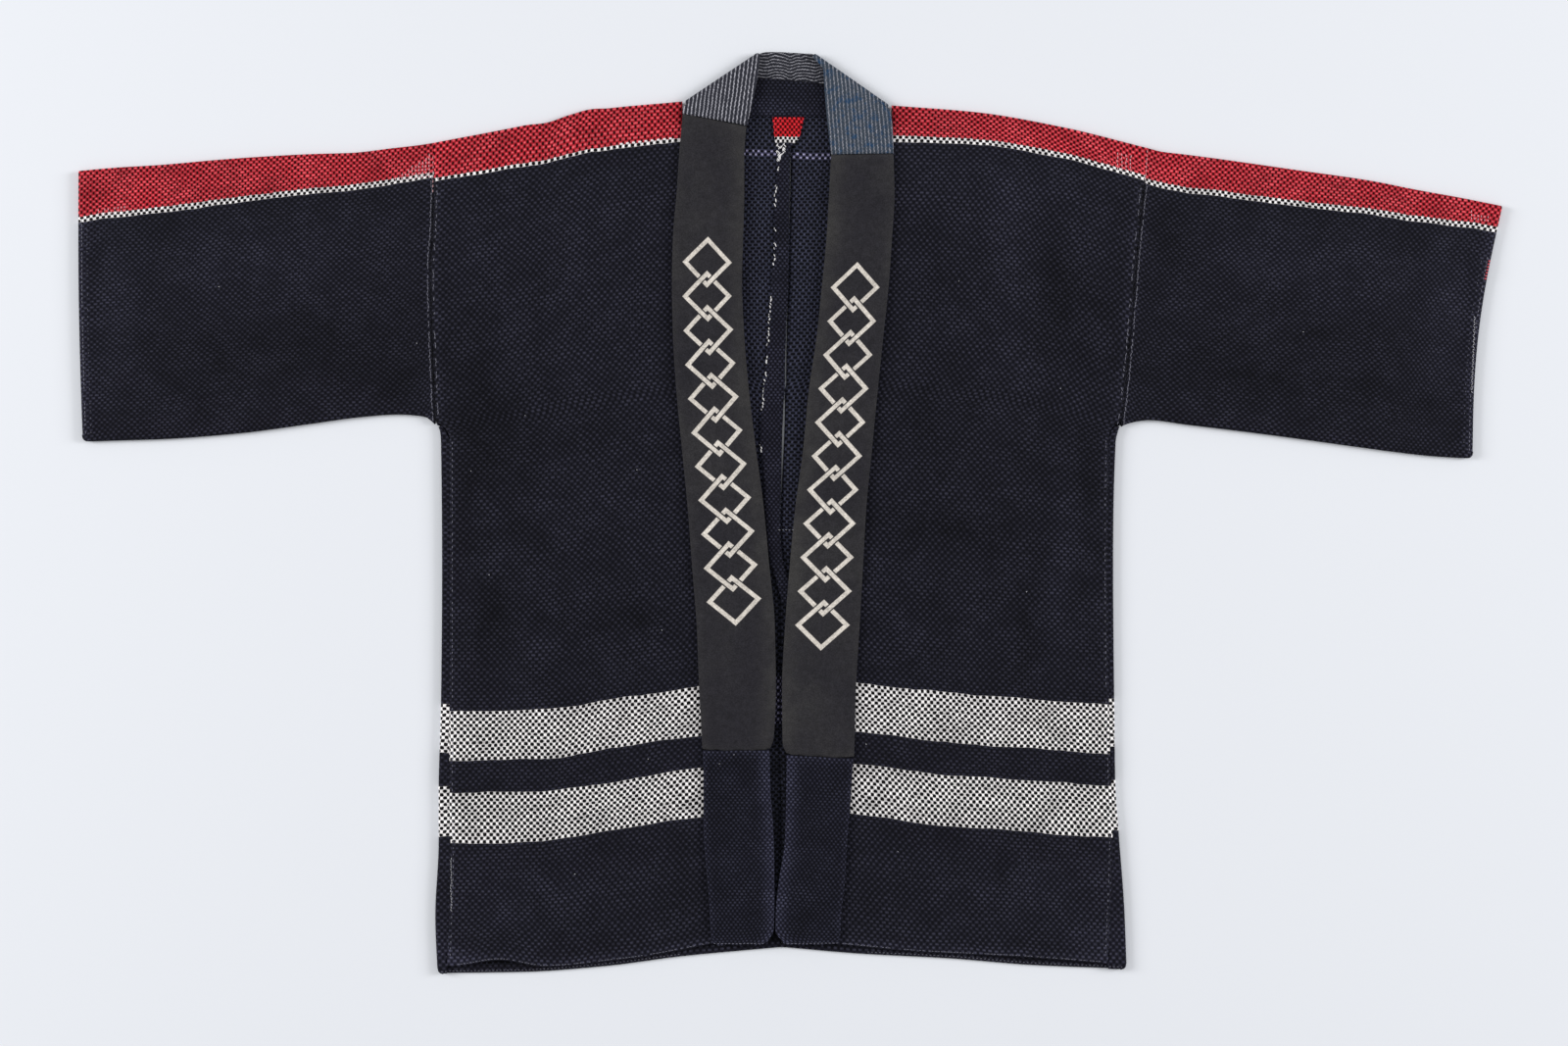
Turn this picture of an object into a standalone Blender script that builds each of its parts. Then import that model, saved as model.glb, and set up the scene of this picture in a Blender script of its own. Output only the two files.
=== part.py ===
"""A happi coat laid flat, front side up, collar towards +Y.

Left and right are the wearer's, so the right half lies at -X. Every table below is in
millimetres on the flat surface: x across the coat, y up towards the collar, and "down" is
the distance along the cloth from the shoulder fold. The origin is on the surface, under
the middle of the whole coat.

The coat is cut from straight lengths of narrow cloth. Each body length runs from the
front hem over the shoulder, with no shoulder seam, to the back hem, and laps round on to
the front at the side seam. Each sleeve is a flat tube. A long folded collar runs up one
front edge, behind the neck and down the other.
"""

import math

import bmesh
import bpy
import numpy as np

MM = 0.001

# Thickness of the cloths and the heights at which the layers lie
CLOTH = 1.8
COLLAR = 3.0
OVER_COLLAR = 3.2
SEAM_GAP = 0.3
FOLD_GAP = 1.2
TUCKED_GAP = 0.5
HALF = CLOTH / 2
COLLAR_SEWN_Z = 2 * CLOTH + TUCKED_GAP + SEAM_GAP + COLLAR / 2
COLLAR_FREE_Z = 5.0
ALLOWANCE_Z = 2.65
ALLOWANCE = 1.1
BASE_STRIP = 1.0
NECK_STEP = 1.6
NECK_FOLD_RADIUS = 2.0
EDGE_ROUND = 1.1
ALLOWANCE_CROWN = 0.2
SHARP_ANGLE = 40

# How finely the cloth is divided
BODY_COLUMNS = 13
CENTRE_PARTS = [1.33, 1.67, 2]
SHOULDER_ROWS = 14
BODY_ROWS = 28
SLEEVE_SECTIONS = 18
SLEEVE_COLUMNS = 13
FOLD_ANGLES = (45, 0, -45)
NECK_FOLD_ANGLES = (90, 50, 10, -30, -90)

# Lengths down the cloth and widths across it
TUCK_WIDTH = 9
RISE_WIDTH = 34
LAP_START = 253
UNDERARM = 250
UNDERARM_TURN = (253, 256, 260)
SIDE_START = 266
FRONT_TUCK = 14
FRONT_HEM = 741
BACK_HEM = 748
NECK_SEAM = 13

# The armhole seam of each side: y, x
ARMHOLE = {
    "right": ((77, -313.4), (82, -313.6), (124, -315.4), (168, -317.1), (212, -318),
              (257, -315.6), (298, -314.5), (330, -314.5)),
    "left": ((72, 292.6), (97, 296.0), (121, 298.6), (146, 300.9), (176, 303.5),
             (229, 307.8), (269, 311.8), (296, 314.6), (325, 316.4)),
}

# Front of each half: down, side x, x of the edge under the collar, and y at the side,
# one third in, two thirds in and at the collar edge
FRONT = {
    "right": (
        (0, -314.5, -94.9, 328, 342, 357.5, 364.5),
        (14, -314.5, -95.0, 314, 328, 344, 351),
        (33, -315, -91, 296, 308, 323, 331),
        (120, -318, -99, 211, 221, 235, 244),
        (250, -314, -95, 80, 89, 104, 113),
        (253, -307.5, -95, 77.5, 86, 101, 110),
        (258, -304, -95, 73.5, 81, 95, 104),
        (266, -301, -94, 67, 74, 87, 97),
        (390, -301, -84, -53, -50, -38, -27),
        (514, -301, -75, -175, -174, -164, -152),
        (558, -301, -74, -219, -218, -207, -196),
        (588, -301, -72, -248, -247, -237, -224),
        (632, -300, -71, -293, -291, -279, -268),
        (741, -303, -64, -401, -402, -395, -381),
    ),
    "left": (
        (0, 316.2, 90.6, 323.5, 342, 355, 361),
        (14, 315.6, 91.0, 310, 330, 343, 348),
        (31, 315, 87, 298, 318, 330, 332),
        (120, 307, 86, 215, 231, 241, 245),
        (250, 295, 74, 80, 98, 109, 115),
        (253, 287.6, 74, 77.5, 95, 106, 112),
        (258, 284.8, 73, 74, 91, 101, 107),
        (266, 283, 72, 68, 84, 94, 99),
        (390, 282, 61, -48, -40, -32, -25),
        (514, 283, 54, -169, -164, -158, -149),
        (558, 284, 53, -213, -208, -202, -192),
        (588, 285, 51, -242, -237, -231, -221),
        (632, 286, 49, -288, -282, -276, -265),
        (741, 282, 40, -399, -393, -389, -382),
    ),
}

# Back of each half: down, x of the side fold, x below the collar corner, x of the centre
# seam, and y at the side, one third, two thirds, the collar corner and the centre seam
BACK = {
    "right": (
        (0, -314.5, -94.9, 0, 328, 342, 357.5, 364.5, 364.5),
        (13, -314.5, -95.0, 0, 315, 329, 345, 351.3, 351.3),
        (45, -315, -92, 0, 283, 297, 312, 319, 318),
        (120, -318, -92, 0, 211, 221, 235, 244, 246),
        (250, -314, -90, -4, 79.5, 90, 103, 112, 116),
        (253, -311.2, -90, -4, 76.5, 87, 100, 109, 113),
        (258, -309.6, -90, -4, 71.5, 82, 94.5, 104, 108),
        (266, -309, -90, -5, 63, 74, 86, 96, 100),
        (390, -308, -89, -8, -53, -50, -38, -27, -19),
        (514, -309, -88, -8, -173, -173, -164, -152, -144),
        (588, -311, -87, -8, -246, -246, -237, -224, -217),
        (632, -311, -87, -7, -291, -291, -279, -268, -261),
        (700, -314, -88, -7, -358, -358, -345, -334, -325),
        (748, -312, -94, -7, -408, -407, -402, -393, -385),
    ),
    "left": (
        (0, 316.2, 90.6, 1, 323.5, 342, 355, 361, 364.5),
        (13, 315.6, 91.0, 1, 311, 331, 344, 351.3, 351.3),
        (45, 315, 87, 1, 282, 300, 313, 318, 318),
        (120, 307, 87, 0, 215, 231, 241, 245, 246),
        (250, 295, 85, -3, 79.5, 98, 109, 115, 116),
        (253, 292.6, 85, -3, 76.5, 95, 106, 112, 113),
        (258, 291.2, 85, -4, 72, 90, 101, 107, 108),
        (266, 289.4, 85, -4, 64.5, 82, 93, 98, 100),
        (390, 287, 82, -8, -48, -40, -32, -25, -19),
        (514, 288, 80, -8, -167, -164, -157, -149, -144),
        (588, 289, 76, -8, -239, -237, -231, -221, -217),
        (632, 292, 74, -7, -284, -282, -276, -265, -261),
        (700, 297, 70, -7, -352, -348, -339, -331, -325),
        (748, 299, 65, -7, -404, -401, -395, -391, -385),
    ),
}

# Sleeves, armhole to cuff: x and y of the top fold, x and y of the bottom fold, and how
# far the middle of the section bows outwards
SLEEVE = {
    "right": (
        (-314.5, 328, -313.4, 78, 0),
        (-327, 326, -323, 85, -3),
        (-353, 323, -348, 87, -2),
        (-388, 319, -386, 84, 0),
        (-422, 318, -422, 79, 0),
        (-492, 314, -491, 70, 0),
        (-562, 308, -560, 65, 0),
        (-596, 306, -594, 64, 0),
        (-629.5, 303, -626, 63, -1.5),
    ),
    "left": (
        (316.2, 323.5, 292, 76, 0),
        (330, 320, 304, 80, 0),
        (347, 318, 319, 82, 0),
        (378, 314, 352, 78, 0),
        (448, 304, 425, 69, 0),
        (517, 294, 498, 59, 0),
        (552, 287, 535, 54, -2),
        (596, 279, 571, 50, -4.5),
        (631, 272, 605, 48, -7.4),
    ),
}

# Low soft ridges of the upper layer: x, y, heading in degrees, length, width, height
RIDGES = (
    (-179, 194, -80, 170, 70, 1.5),
    (-257, -2, -55, 150, 44, 1.8),
    (-214, -160, -86, 220, 60, 1.4),
    (-130, -250, -74, 150, 60, 1.0),
    (-263, -395, 0, 62, 60, 2.1),
    (200, 194, -88, 190, 46, 1.7),
    (130, 60, -96, 160, 60, 1.0),
    (241, -70, -91, 210, 44, 1.8),
    (240, 8, -122, 150, 40, 1.2),
    (150, -260, -92, 190, 64, 1.2),
    (-440, 176, -18, 220, 56, 1.8),
    (-590, 200, -86, 170, 56, 1.2),
    (413, 140, 12, 150, 44, 1.7),
    (520, 190, -82, 160, 64, 1.4),
)

# The right shoulder fold is pulled down and then up again beside a crease: x, width, drop
SHOULDER_CREASE = ((-214, 22, 2.2), (-177, 18, -1.4))
CREASE_FADE = 60

# Collar sections, neck to hem: x and y of the sewn edge, x and y of the free edge
COLLAR_RIGHT = (
    (-94.4, 352.6, -38.2, 342.0),
    (-97, 325, -40, 316),
    (-100, 281, -40, 278),
    (-103, 246, -41, 244),
    (-104, 203, -42, 203),
    (-103, 155, -40, 157),
    (-100, 107, -36, 110),
    (-95, 55, -30, 59),
    (-90, 3, -23, 7),
    (-86, -50, -18, -45),
    (-82, -102, -13, -98),
    (-80, -154, -12, -154),
    (-77.5, -200, -14, -200),
    (-77, -210, -17, -210),
)
COLLAR_LOWER_RIGHT = (
    (-76.6, -210.4, -17.6, -210.4),
    (-76, -241, -17, -241),
    (-76, -276, -14.5, -276),
    (-74, -311, -13.4, -311),
    (-71, -345, -13.2, -345),
    (-69.5, -372, -13.6, -368),
    (-67.5, -382.5, -19, -382),
)
COLLAR_LEFT = (
    (92.1, 317.4, 36.9, 316.6),
    (93, 281, 35, 281),
    (91, 246, 33, 246),
    (88, 203, 29, 203),
    (83, 155, 24, 155),
    (78, 107, 17, 107),
    (73, 55, 12, 55),
    (68, 3, 5, 3),
    (65, -50, 0, -50),
    (62, -102, -4, -102),
    (59, -154, -6.5, -154),
    (57.5, -206, -6, -204),
    (57, -217, -3, -214),
)
COLLAR_LOWER_LEFT = (
    (56.4, -217.6, -2.4, -214.6),
    (54, -258, -3, -254),
    (51, -293, -4, -289),
    (49, -328, -9, -324),
    (46, -354, -12, -350),
    (45, -374, -12.6, -370),
    (43, -382, -5, -382.5),
)

# Over-collar round the back of the neck, right front end to left front end: x and y of the
# sewn edge, x and y of the free edge, height of each edge's middle, share of the step
NECK_RIGHT_FRONT = (
    (-94.3, 353.1, -37.4, 342.6, 6.0, 5.2, 0),
    (-94.0, 356.5, -34.8, 355, 5.9, 5.4, 0),
    (-93.7, 358.5, -31.4, 369, 5.7, 5.5, 0),
    (-92.6, 360.3, -27.9, 387, 5.6, 5.6, 0),
)
NECK_BACK = (
    (-86, 357.5, -26.2, 403.6, 1.6, 1.6, 0),
    (-74, 353, -23.5, 405.8, 1.6, 1.6, 0),
    (-57, 352.2, -21, 407.4, 1.6, 1.6, 1),
    (-31, 352.2, -15, 408.5, 1.6, 1.6, 1),
    (-7, 352.2, -6, 408.3, 1.6, 1.6, 1),
    (21, 352.2, 6, 407.6, 1.6, 1.6, 1),
    (39, 352.2, 13, 407, 1.6, 1.6, 1),
    (56, 352.3, 20, 406.2, 1.6, 1.6, 1),
    (69, 353.6, 23.2, 404.0, 1.6, 1.6, 0),
    (80, 356, 26.0, 401.9, 1.6, 1.6, 0),
)
NECK_LEFT_FRONT = (
    (88.9, 357.0, 30.0, 392, 5.6, 5.6, 0),
    (89.3, 354.6, 30.6, 382, 5.6, 5.6, 0),
    (89.9, 351.5, 32, 362, 5.9, 5.4, 0),
    (91.4, 340, 34.4, 338.4, 6.0, 5.2, 0),
    (91.9, 328, 35.8, 327, 6.0, 5.2, 0),
    (92.2, 317.9, 37.0, 317.1, 6.0, 5.2, 0),
)
# The two slanting folds of the over-collar: x and y of the outermost sewn and free corner
NECK_FOLD_RIGHT = ((-92.8, 364.6), (-28.0, 407.8))
NECK_FOLD_LEFT = ((88.4, 361.2), (22.5, 407.0))
# Shares of the over-collar's width where its section turns, and those that the strip covers
NECK_SECTION = (0.02, 0.28, 0.53, 0.57, 0.78, 0.98)
BASE_SECTION = (0.015, 0.27, 0.52)

# Centre back seam allowance on the inside of the back: y, left x, right x
SEAM_ALLOWANCE = (
    (350.4, -15, 13), (331, -13, 8), (323, -11, 1.5), (311, -10, 0.5), (272, -13, 0),
    (238, -13, -1), (203, -16, -1), (168, -18, -3), (142, -20, -4), (107, -23, -5),
    (64, -26, -6.5), (37, -24, -7), (-15, -21, -8), (-41, -18, -6), (-60, -12, 0),
    (-81, -6, 7),
)


def smooth(keys, values, at):
    """Read a curve without overshoot that passes through the given points."""
    keys = np.asarray(keys, float)
    values = np.asarray(values, float)
    at = np.asarray(at, float)
    if keys[0] > keys[-1]:
        keys = keys[::-1]
        values = values[::-1]
    step = np.diff(keys)
    slope = np.diff(values) / step
    tangent = np.empty_like(values)
    tangent[0] = slope[0]
    tangent[-1] = slope[-1]
    same_way = slope[:-1] * slope[1:] > 0
    weight_a = 2 * step[1:] + step[:-1]
    weight_b = step[1:] + 2 * step[:-1]
    safe_a = np.where(same_way, slope[:-1], 1.0)
    safe_b = np.where(same_way, slope[1:], 1.0)
    mean = (weight_a + weight_b) / (weight_a / safe_a + weight_b / safe_b)
    tangent[1:-1] = np.where(same_way, mean, 0.0)
    at = np.clip(at, keys[0], keys[-1])
    left = np.clip(np.searchsorted(keys, at, side="right") - 1, 0, len(step) - 1)
    part = (at - keys[left]) / step[left]
    return ((1 + 2 * part) * (1 - part) ** 2 * values[left]
            + part * (1 - part) ** 2 * step[left] * tangent[left]
            + part ** 2 * (3 - 2 * part) * values[left + 1]
            + part ** 2 * (part - 1) * step[left] * tangent[left + 1])


def column(table, index):
    """One named column of a table."""
    return [row[index] for row in table]


def read(table, index, at):
    """The value of a table's column at one place along its first column."""
    return float(smooth(column(table, 0), column(table, index), at))


def window(distance, reach):
    """A soft rise and fall, 1 in the middle and 0 from `reach` outwards."""
    part = min(abs(distance) / reach, 1.0)
    return 0.5 + 0.5 * math.cos(math.pi * part)


def gap(x, y):
    """Room between the two layers, wider under each ridge."""
    room = FOLD_GAP
    for ridge_x, ridge_y, heading, length, width, height in RIDGES:
        turn = math.radians(heading)
        along = (x - ridge_x) * math.cos(turn) + (y - ridge_y) * math.sin(turn)
        across = (y - ridge_y) * math.cos(turn) - (x - ridge_x) * math.sin(turn)
        room += height * window(along, length / 2) * window(across, width / 2)
    return room


def crease_shift(side, x, down):
    """How far the right shoulder fold's crease moves the cloth in y."""
    if side == "left":
        return 0.0
    fade = window(down, CREASE_FADE)
    return -sum(drop * window(x - at, width) for at, width, drop in SHOULDER_CREASE) * fade


def armhole_x(side, y):
    """The armhole seam's x at a height on the coat."""
    return float(smooth(column(ARMHOLE[side], 0), column(ARMHOLE[side], 1), y))


def front_point(side, down, part):
    """A place on the front of a body half, `part` running from the side to the collar."""
    table = FRONT[side]
    x_side = read(table, 1, down)
    if down <= UNDERARM:
        x_side = armhole_x(side, read(table, 3, down))
    x_inner = read(table, 2, down)
    ys = [read(table, index, down) for index in range(3, 7)]
    x = x_side + part * (x_inner - x_side)
    y = float(smooth((0, 1 / 3, 2 / 3, 1), ys, part))
    return x, y + crease_shift(side, x, down)


def back_point(side, down, part):
    """A place on the back: `part` is 0 at the side, 1 below the collar, 2 at the middle."""
    table = BACK[side]
    x_side = read(table, 1, down)
    if down <= UNDERARM:
        x_side = armhole_x(side, read(table, 4, down))
    x_collar = read(table, 2, down)
    x_centre = read(table, 3, down)
    if side == "right":
        x_centre -= SEAM_GAP / 2
    else:
        x_centre += SEAM_GAP / 2
    ys = [read(table, index, down) for index in range(4, 9)]
    x = x_side + part * (x_collar - x_side)
    if part > 1:
        x = x_collar + (part - 1) * (x_centre - x_collar)
    key_x = [x_side + share * (x_collar - x_side) for share in (0, 1 / 3, 2 / 3, 1)]
    y = float(smooth(key_x + [x_centre], ys, x))
    return x, y + crease_shift(side, x, down)


def closed_wall(name, middle, normal, thickness, present, wraps=False):
    """Give a grid of cloth its thickness and close it at every free edge.

    The cells marked in `present` are covered; with `wraps`, the last column joins the
    first and makes a tube.
    """
    middle = np.asarray(middle, float)
    normal = np.asarray(normal, float)
    normal = normal / np.linalg.norm(normal, axis=2, keepdims=True)
    rows, columns = middle.shape[:2]
    mesh = bmesh.new()
    corners = {}

    def corner(row, col, level):
        key = (row, col % columns, level)
        if key not in corners:
            place = middle[row, key[1]] + normal[row, key[1]] * level * thickness / 2
            corners[key] = mesh.verts.new(place * MM)
        return corners[key]

    cell_columns = columns if wraps else columns - 1

    def covered(row, col):
        if wraps:
            col %= columns
        inside = 0 <= row < rows - 1 and 0 <= col < cell_columns
        return inside and bool(present[row][col])

    for row in range(rows - 1):
        for col in range(cell_columns):
            if not covered(row, col):
                continue
            loop = ((row, col), (row, col + 1), (row + 1, col + 1), (row + 1, col))
            mesh.faces.new([corner(r, c, 1) for r, c in loop])
            mesh.faces.new([corner(r, c, -1) for r, c in reversed(loop)])
            beside = ((row - 1, col), (row, col + 1), (row + 1, col), (row, col - 1))
            for index, neighbour in enumerate(beside):
                if covered(*neighbour):
                    continue
                start = loop[index]
                end = loop[(index + 1) % 4]
                mesh.faces.new((corner(*end, 1), corner(*start, 1),
                                corner(*start, -1), corner(*end, -1)))
    finish_mesh(name, mesh)


def loft(name, sections):
    """Close a row of equal rings of points into one solid with flat ends."""
    mesh = bmesh.new()
    rings = [[mesh.verts.new(np.asarray(point) * MM) for point in ring] for ring in sections]
    count = len(rings[0])
    for ring, following in zip(rings, rings[1:]):
        for index in range(count):
            after = (index + 1) % count
            mesh.faces.new((ring[index], ring[after], following[after], following[index]))
    mesh.faces.new(rings[0])
    mesh.faces.new(rings[-1])
    finish_mesh(name, mesh)


def finish_mesh(name, mesh):
    """Turn the faces outwards and put the mesh into the scene under the node's name."""
    bmesh.ops.recalc_face_normals(mesh, faces=mesh.faces)
    data = bpy.data.meshes.new(name)
    mesh.to_mesh(data)
    mesh.free()
    data.shade_smooth()
    data.set_sharp_from_angle(angle=math.radians(SHARP_ANGLE))
    bpy.context.scene.collection.objects.link(bpy.data.objects.new(name, data))


def finish_material(name, colour, roughness):
    """A woven cotton of one colour for the node of that name."""
    material = bpy.data.materials.new(name)
    material.use_nodes = True
    shader = material.node_tree.nodes["Principled BSDF"]
    shader.inputs["Base Color"].default_value = (*colour, 1)
    shader.inputs["Roughness"].default_value = roughness
    shader.inputs["Metallic"].default_value = 0
    bpy.data.objects[name].data.materials.append(material)


def fold_arc(centre, outwards, radius, angles):
    """Places and normals round a fold, from the upper layer down to the lower one."""
    places = []
    normals = []
    for angle in angles:
        turn = math.radians(angle)
        normal = np.array((outwards[0] * math.cos(turn), outwards[1] * math.cos(turn),
                           math.sin(turn)))
        places.append(np.asarray(centre) + normal * radius)
        normals.append(normal)
    return places, normals


def cloth_rows(first, last):
    """Distances down the cloth at which its rows lie, closer round the underarm."""
    above = np.linspace(first, UNDERARM, SHOULDER_ROWS)
    below = np.linspace(SIDE_START, last, BODY_ROWS)
    return list(above) + list(UNDERARM_TURN) + list(below)


def make_body(side):
    """One length of cloth: front, shoulder fold, back, and the lap at the side seam."""
    sign = -1 if side == "right" else 1
    parts = list(np.linspace(0, 1, BODY_COLUMNS)[:-1])
    width = abs(FRONT[side][0][1] - FRONT[side][0][2])
    parts += [1 - TUCK_WIDTH / width, 1]
    lap_columns = 2 + len(FOLD_ANGLES)
    count = lap_columns + len(parts) + len(CENTRE_PARTS)
    up = np.array((0.0, 0.0, 1.0))
    middle = []
    normal = []
    present = []

    def blank_row():
        return [np.zeros(3)] * count, [up] * count

    def front_height(x, y, x_inner):
        inwards = max(0.0, (abs(x - x_inner) - TUCK_WIDTH) / RISE_WIDTH)
        risen = 1 - window(inwards, 1)
        return CLOTH + HALF + TUCKED_GAP + (gap(x, y) - TUCKED_GAP) * risen

    def seam_x(down):
        return front_point(side, min(down, FRONT_HEM), 0)[0]

    for down in reversed(cloth_rows(FRONT_TUCK, FRONT_HEM)):
        places, normals = blank_row()
        x_inner = front_point(side, down, 1)[0]
        for index, part in enumerate(parts):
            x, y = front_point(side, down, part)
            places[lap_columns + index] = np.array((x, y, front_height(x, y, x_inner)))
        middle.append(places)
        normal.append(normals)
        present.append([lap_columns <= col < lap_columns + len(parts) - 1
                        for col in range(count - 1)])

    fold_rows = [blank_row() for _ in range(2 + len(FOLD_ANGLES))]
    for index, part in enumerate(parts):
        x, y = front_point(side, 0, part)
        radius = (CLOTH + gap(x, y)) / 2
        centre = (x, y - radius - HALF, HALF + radius)
        places, normals = fold_arc(centre, (0, 1), radius, (90,) + FOLD_ANGLES + (-90,))
        for row, place, direction in zip(fold_rows, places, normals):
            row[0][lap_columns + index] = place
            row[1][lap_columns + index] = direction
    for places, normals in fold_rows:
        middle.append(places)
        normal.append(normals)
        present.append([lap_columns <= col < lap_columns + len(parts) - 1
                        for col in range(count - 1)])

    for down in cloth_rows(NECK_SEAM, BACK_HEM):
        places, normals = blank_row()
        x_edge, y_edge = back_point(side, down, 0)
        shift = 0.0
        lapped = down >= LAP_START
        if lapped:
            radius = (CLOTH + gap(seam_x(down), y_edge)) / 2
            shift = -sign * (radius + HALF)
            centre = (x_edge + shift, y_edge, HALF + radius)
            arc, directions = fold_arc(centre, (sign, 0), radius, (90,) + FOLD_ANGLES)
            lap_end = seam_x(down) + sign * SEAM_GAP
            places[0] = np.array((lap_end, y_edge, HALF + 2 * radius))
            for index, (place, direction) in enumerate(zip(arc, directions)):
                places[1 + index] = place
                normals[1 + index] = direction
        for index, part in enumerate(parts + CENTRE_PARTS):
            x, y = back_point(side, down, part)
            if part < 1:
                x += shift * (1 - part)
            places[lap_columns + index] = np.array((x, y, HALF))
            normals[lap_columns + index] = -up
        middle.append(places)
        normal.append(normals)
        first = 0 if lapped else lap_columns
        present.append([col >= first for col in range(count - 1)])

    closed_wall("body_" + side, middle, normal, CLOTH, present)


def make_sleeve(side):
    """A flat tube from the armhole seam to the open cuff, folded at the top and bottom."""
    sign = -1 if side == "right" else 1
    table = SLEEVE[side]
    reach = [abs(row[0]) for row in table]
    shares = np.linspace(0, 1, SLEEVE_COLUMNS)
    angles = (90,) + FOLD_ANGLES + (-90,)
    middle = []
    normal = []
    for index, along in enumerate(np.linspace(reach[0], reach[-1], SLEEVE_SECTIONS)):
        top_x, top_y, low_x, low_y, bow = [float(smooth(reach, column(table, col), along))
                                           for col in range(5)]

        def across(share, inset_top, inset_low):
            y = top_y - inset_top + share * (low_y + inset_low - top_y + inset_top)
            x = top_x + share * (low_x - top_x) + bow * math.sin(math.pi * share)
            if index == 0:
                x = armhole_x(side, y) + sign * SEAM_GAP
            return x, y

        radius_top = (CLOTH + gap(top_x, top_y)) / 2
        radius_low = (CLOTH + gap(low_x, low_y)) / 2
        insets = (radius_top + HALF, radius_low + HALF)
        ring = []
        directions = []
        for share in shares[1:-1]:
            x, y = across(share, *insets)
            ring.append(np.array((x, y, CLOTH + gap(x, y) + HALF)))
            directions.append(np.array((0.0, 0.0, 1.0)))
        x, y = across(1, *insets)
        arc, turned = fold_arc((x, y, HALF + radius_low), (0, -1), radius_low, angles)
        ring += arc
        directions += turned
        for share in shares[::-1][1:-1]:
            ring.append(np.array((*across(share, *insets), HALF)))
            directions.append(np.array((0.0, 0.0, -1.0)))
        x, y = across(0, *insets)
        arc, turned = fold_arc((x, y, HALF + radius_top), (0, 1), radius_top, angles)
        ring += arc[::-1]
        directions += turned[::-1]
        middle.append(ring)
        normal.append(directions)
    present = [[True] * len(middle[0])] * (len(middle) - 1)
    closed_wall("sleeve_" + side, middle, normal, CLOTH, present, wraps=True)


def band_section(sewn, free, sewn_z, free_z, thickness):
    """One rounded cross-section of a folded band of cloth."""
    sewn = np.asarray(sewn, float)
    free = np.asarray(free, float)
    width = np.linalg.norm(free - sewn)
    edge = EDGE_ROUND / width
    half = thickness / 2
    outline = ((edge, -half), (0.5, -half), (1 - edge, -half), (1, 0), (1 - edge, half),
               (0.5, half), (edge, half), (0, 0))
    points = []
    for share, rise in outline:
        place = sewn + share * (free - sewn)
        points.append((*place, sewn_z + share * (free_z - sewn_z) + rise))
    return points


def make_collar(name, table):
    """A long folded band that lies on the front's edge."""
    sections = [band_section(row[:2], row[2:], COLLAR_SEWN_Z, COLLAR_FREE_Z, COLLAR)
                for row in table]
    loft(name, sections)


def neck_stations():
    """Every section of the over-collar: both edges, the way up, and the step's share."""
    def station(row):
        sewn = np.array((row[0], row[1], row[4]))
        free = np.array((row[2], row[3], row[5]))
        return sewn, free, np.array((0.0, 0.0, 1.0 if row[4] > OVER_COLLAR else -1.0)), row[6]

    def fold(corners, turn_angles):
        sewn = np.array(corners[0], float)
        free = np.array(corners[1], float)
        along = (free - sewn) / np.linalg.norm(free - sewn)
        outwards = np.array((-along[1], along[0]))
        if outwards[1] < 0:
            outwards = -outwards
        inset = outwards * (NECK_FOLD_RADIUS + OVER_COLLAR / 2)
        height = OVER_COLLAR / 2 + NECK_FOLD_RADIUS
        ends = []
        for corner in (sewn - inset, free - inset):
            centre = (corner[0], corner[1], height)
            ends.append(fold_arc(centre, outwards, NECK_FOLD_RADIUS, turn_angles))
        return [(ends[0][0][k], ends[1][0][k], ends[0][1][k], 0)
                for k in range(len(turn_angles))]

    stations = [station(row) for row in NECK_RIGHT_FRONT]
    stations += fold(NECK_FOLD_RIGHT, NECK_FOLD_ANGLES)
    stations += [station(row) for row in NECK_BACK]
    stations += fold(NECK_FOLD_LEFT, NECK_FOLD_ANGLES[::-1])
    stations += [station(row) for row in NECK_LEFT_FRONT]
    return stations


def make_over_collar():
    """The striped over-collar and, inside it behind the neck, the strip that it covers."""
    half = OVER_COLLAR / 2
    sections = []
    strip = []
    for sewn, free, normal, step in neck_stations():
        lowered = half - step * NECK_STEP
        shares = NECK_SECTION
        drops = (lowered, lowered, lowered, half, half, half)
        inner = [sewn + share * (free - sewn) - normal * drop
                 for share, drop in zip(shares, drops)]
        outer = [sewn + share * (free - sewn) + normal * half for share in shares]
        middle_sewn = sewn + normal * (half - lowered) / 2
        sections.append(outer + [free] + inner[::-1] + [middle_sewn])
        if step:
            strip.append([sewn + share * (free - sewn) for share in BASE_SECTION])
    loft("collar_neck", sections)
    low = NECK_STEP + SEAM_GAP
    rings = []
    for points in strip:
        ring = [(p[0], p[1], low) for p in points]
        ring += [(p[0], p[1], low + BASE_STRIP) for p in reversed(points)]
        rings.append(ring)
    loft("collar_base", rings)


def make_seam_allowance():
    """The turned edges of the centre back seam, pressed to one side inside the back."""
    rings = []
    for y, left, right in SEAM_ALLOWANCE:
        centre = (left + right) / 2
        low = ALLOWANCE_Z - ALLOWANCE / 2
        high = ALLOWANCE_Z + ALLOWANCE / 2
        rings.append(((left, y, low), (right, y, low), (right, y, high - ALLOWANCE_CROWN),
                      (centre, y, high), (left, y, high - ALLOWANCE_CROWN)))
    loft("centre_back_seam_allowance", rings)


for old in list(bpy.data.objects):
    bpy.data.objects.remove(old)

for wearers_side in ("right", "left"):
    make_body(wearers_side)
    make_sleeve(wearers_side)
make_over_collar()
make_collar("collar_right", COLLAR_RIGHT)
make_collar("collar_left", COLLAR_LEFT)
make_collar("collar_lower_right", COLLAR_LOWER_RIGHT)
make_collar("collar_lower_left", COLLAR_LOWER_LEFT)
make_seam_allowance()

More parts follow.
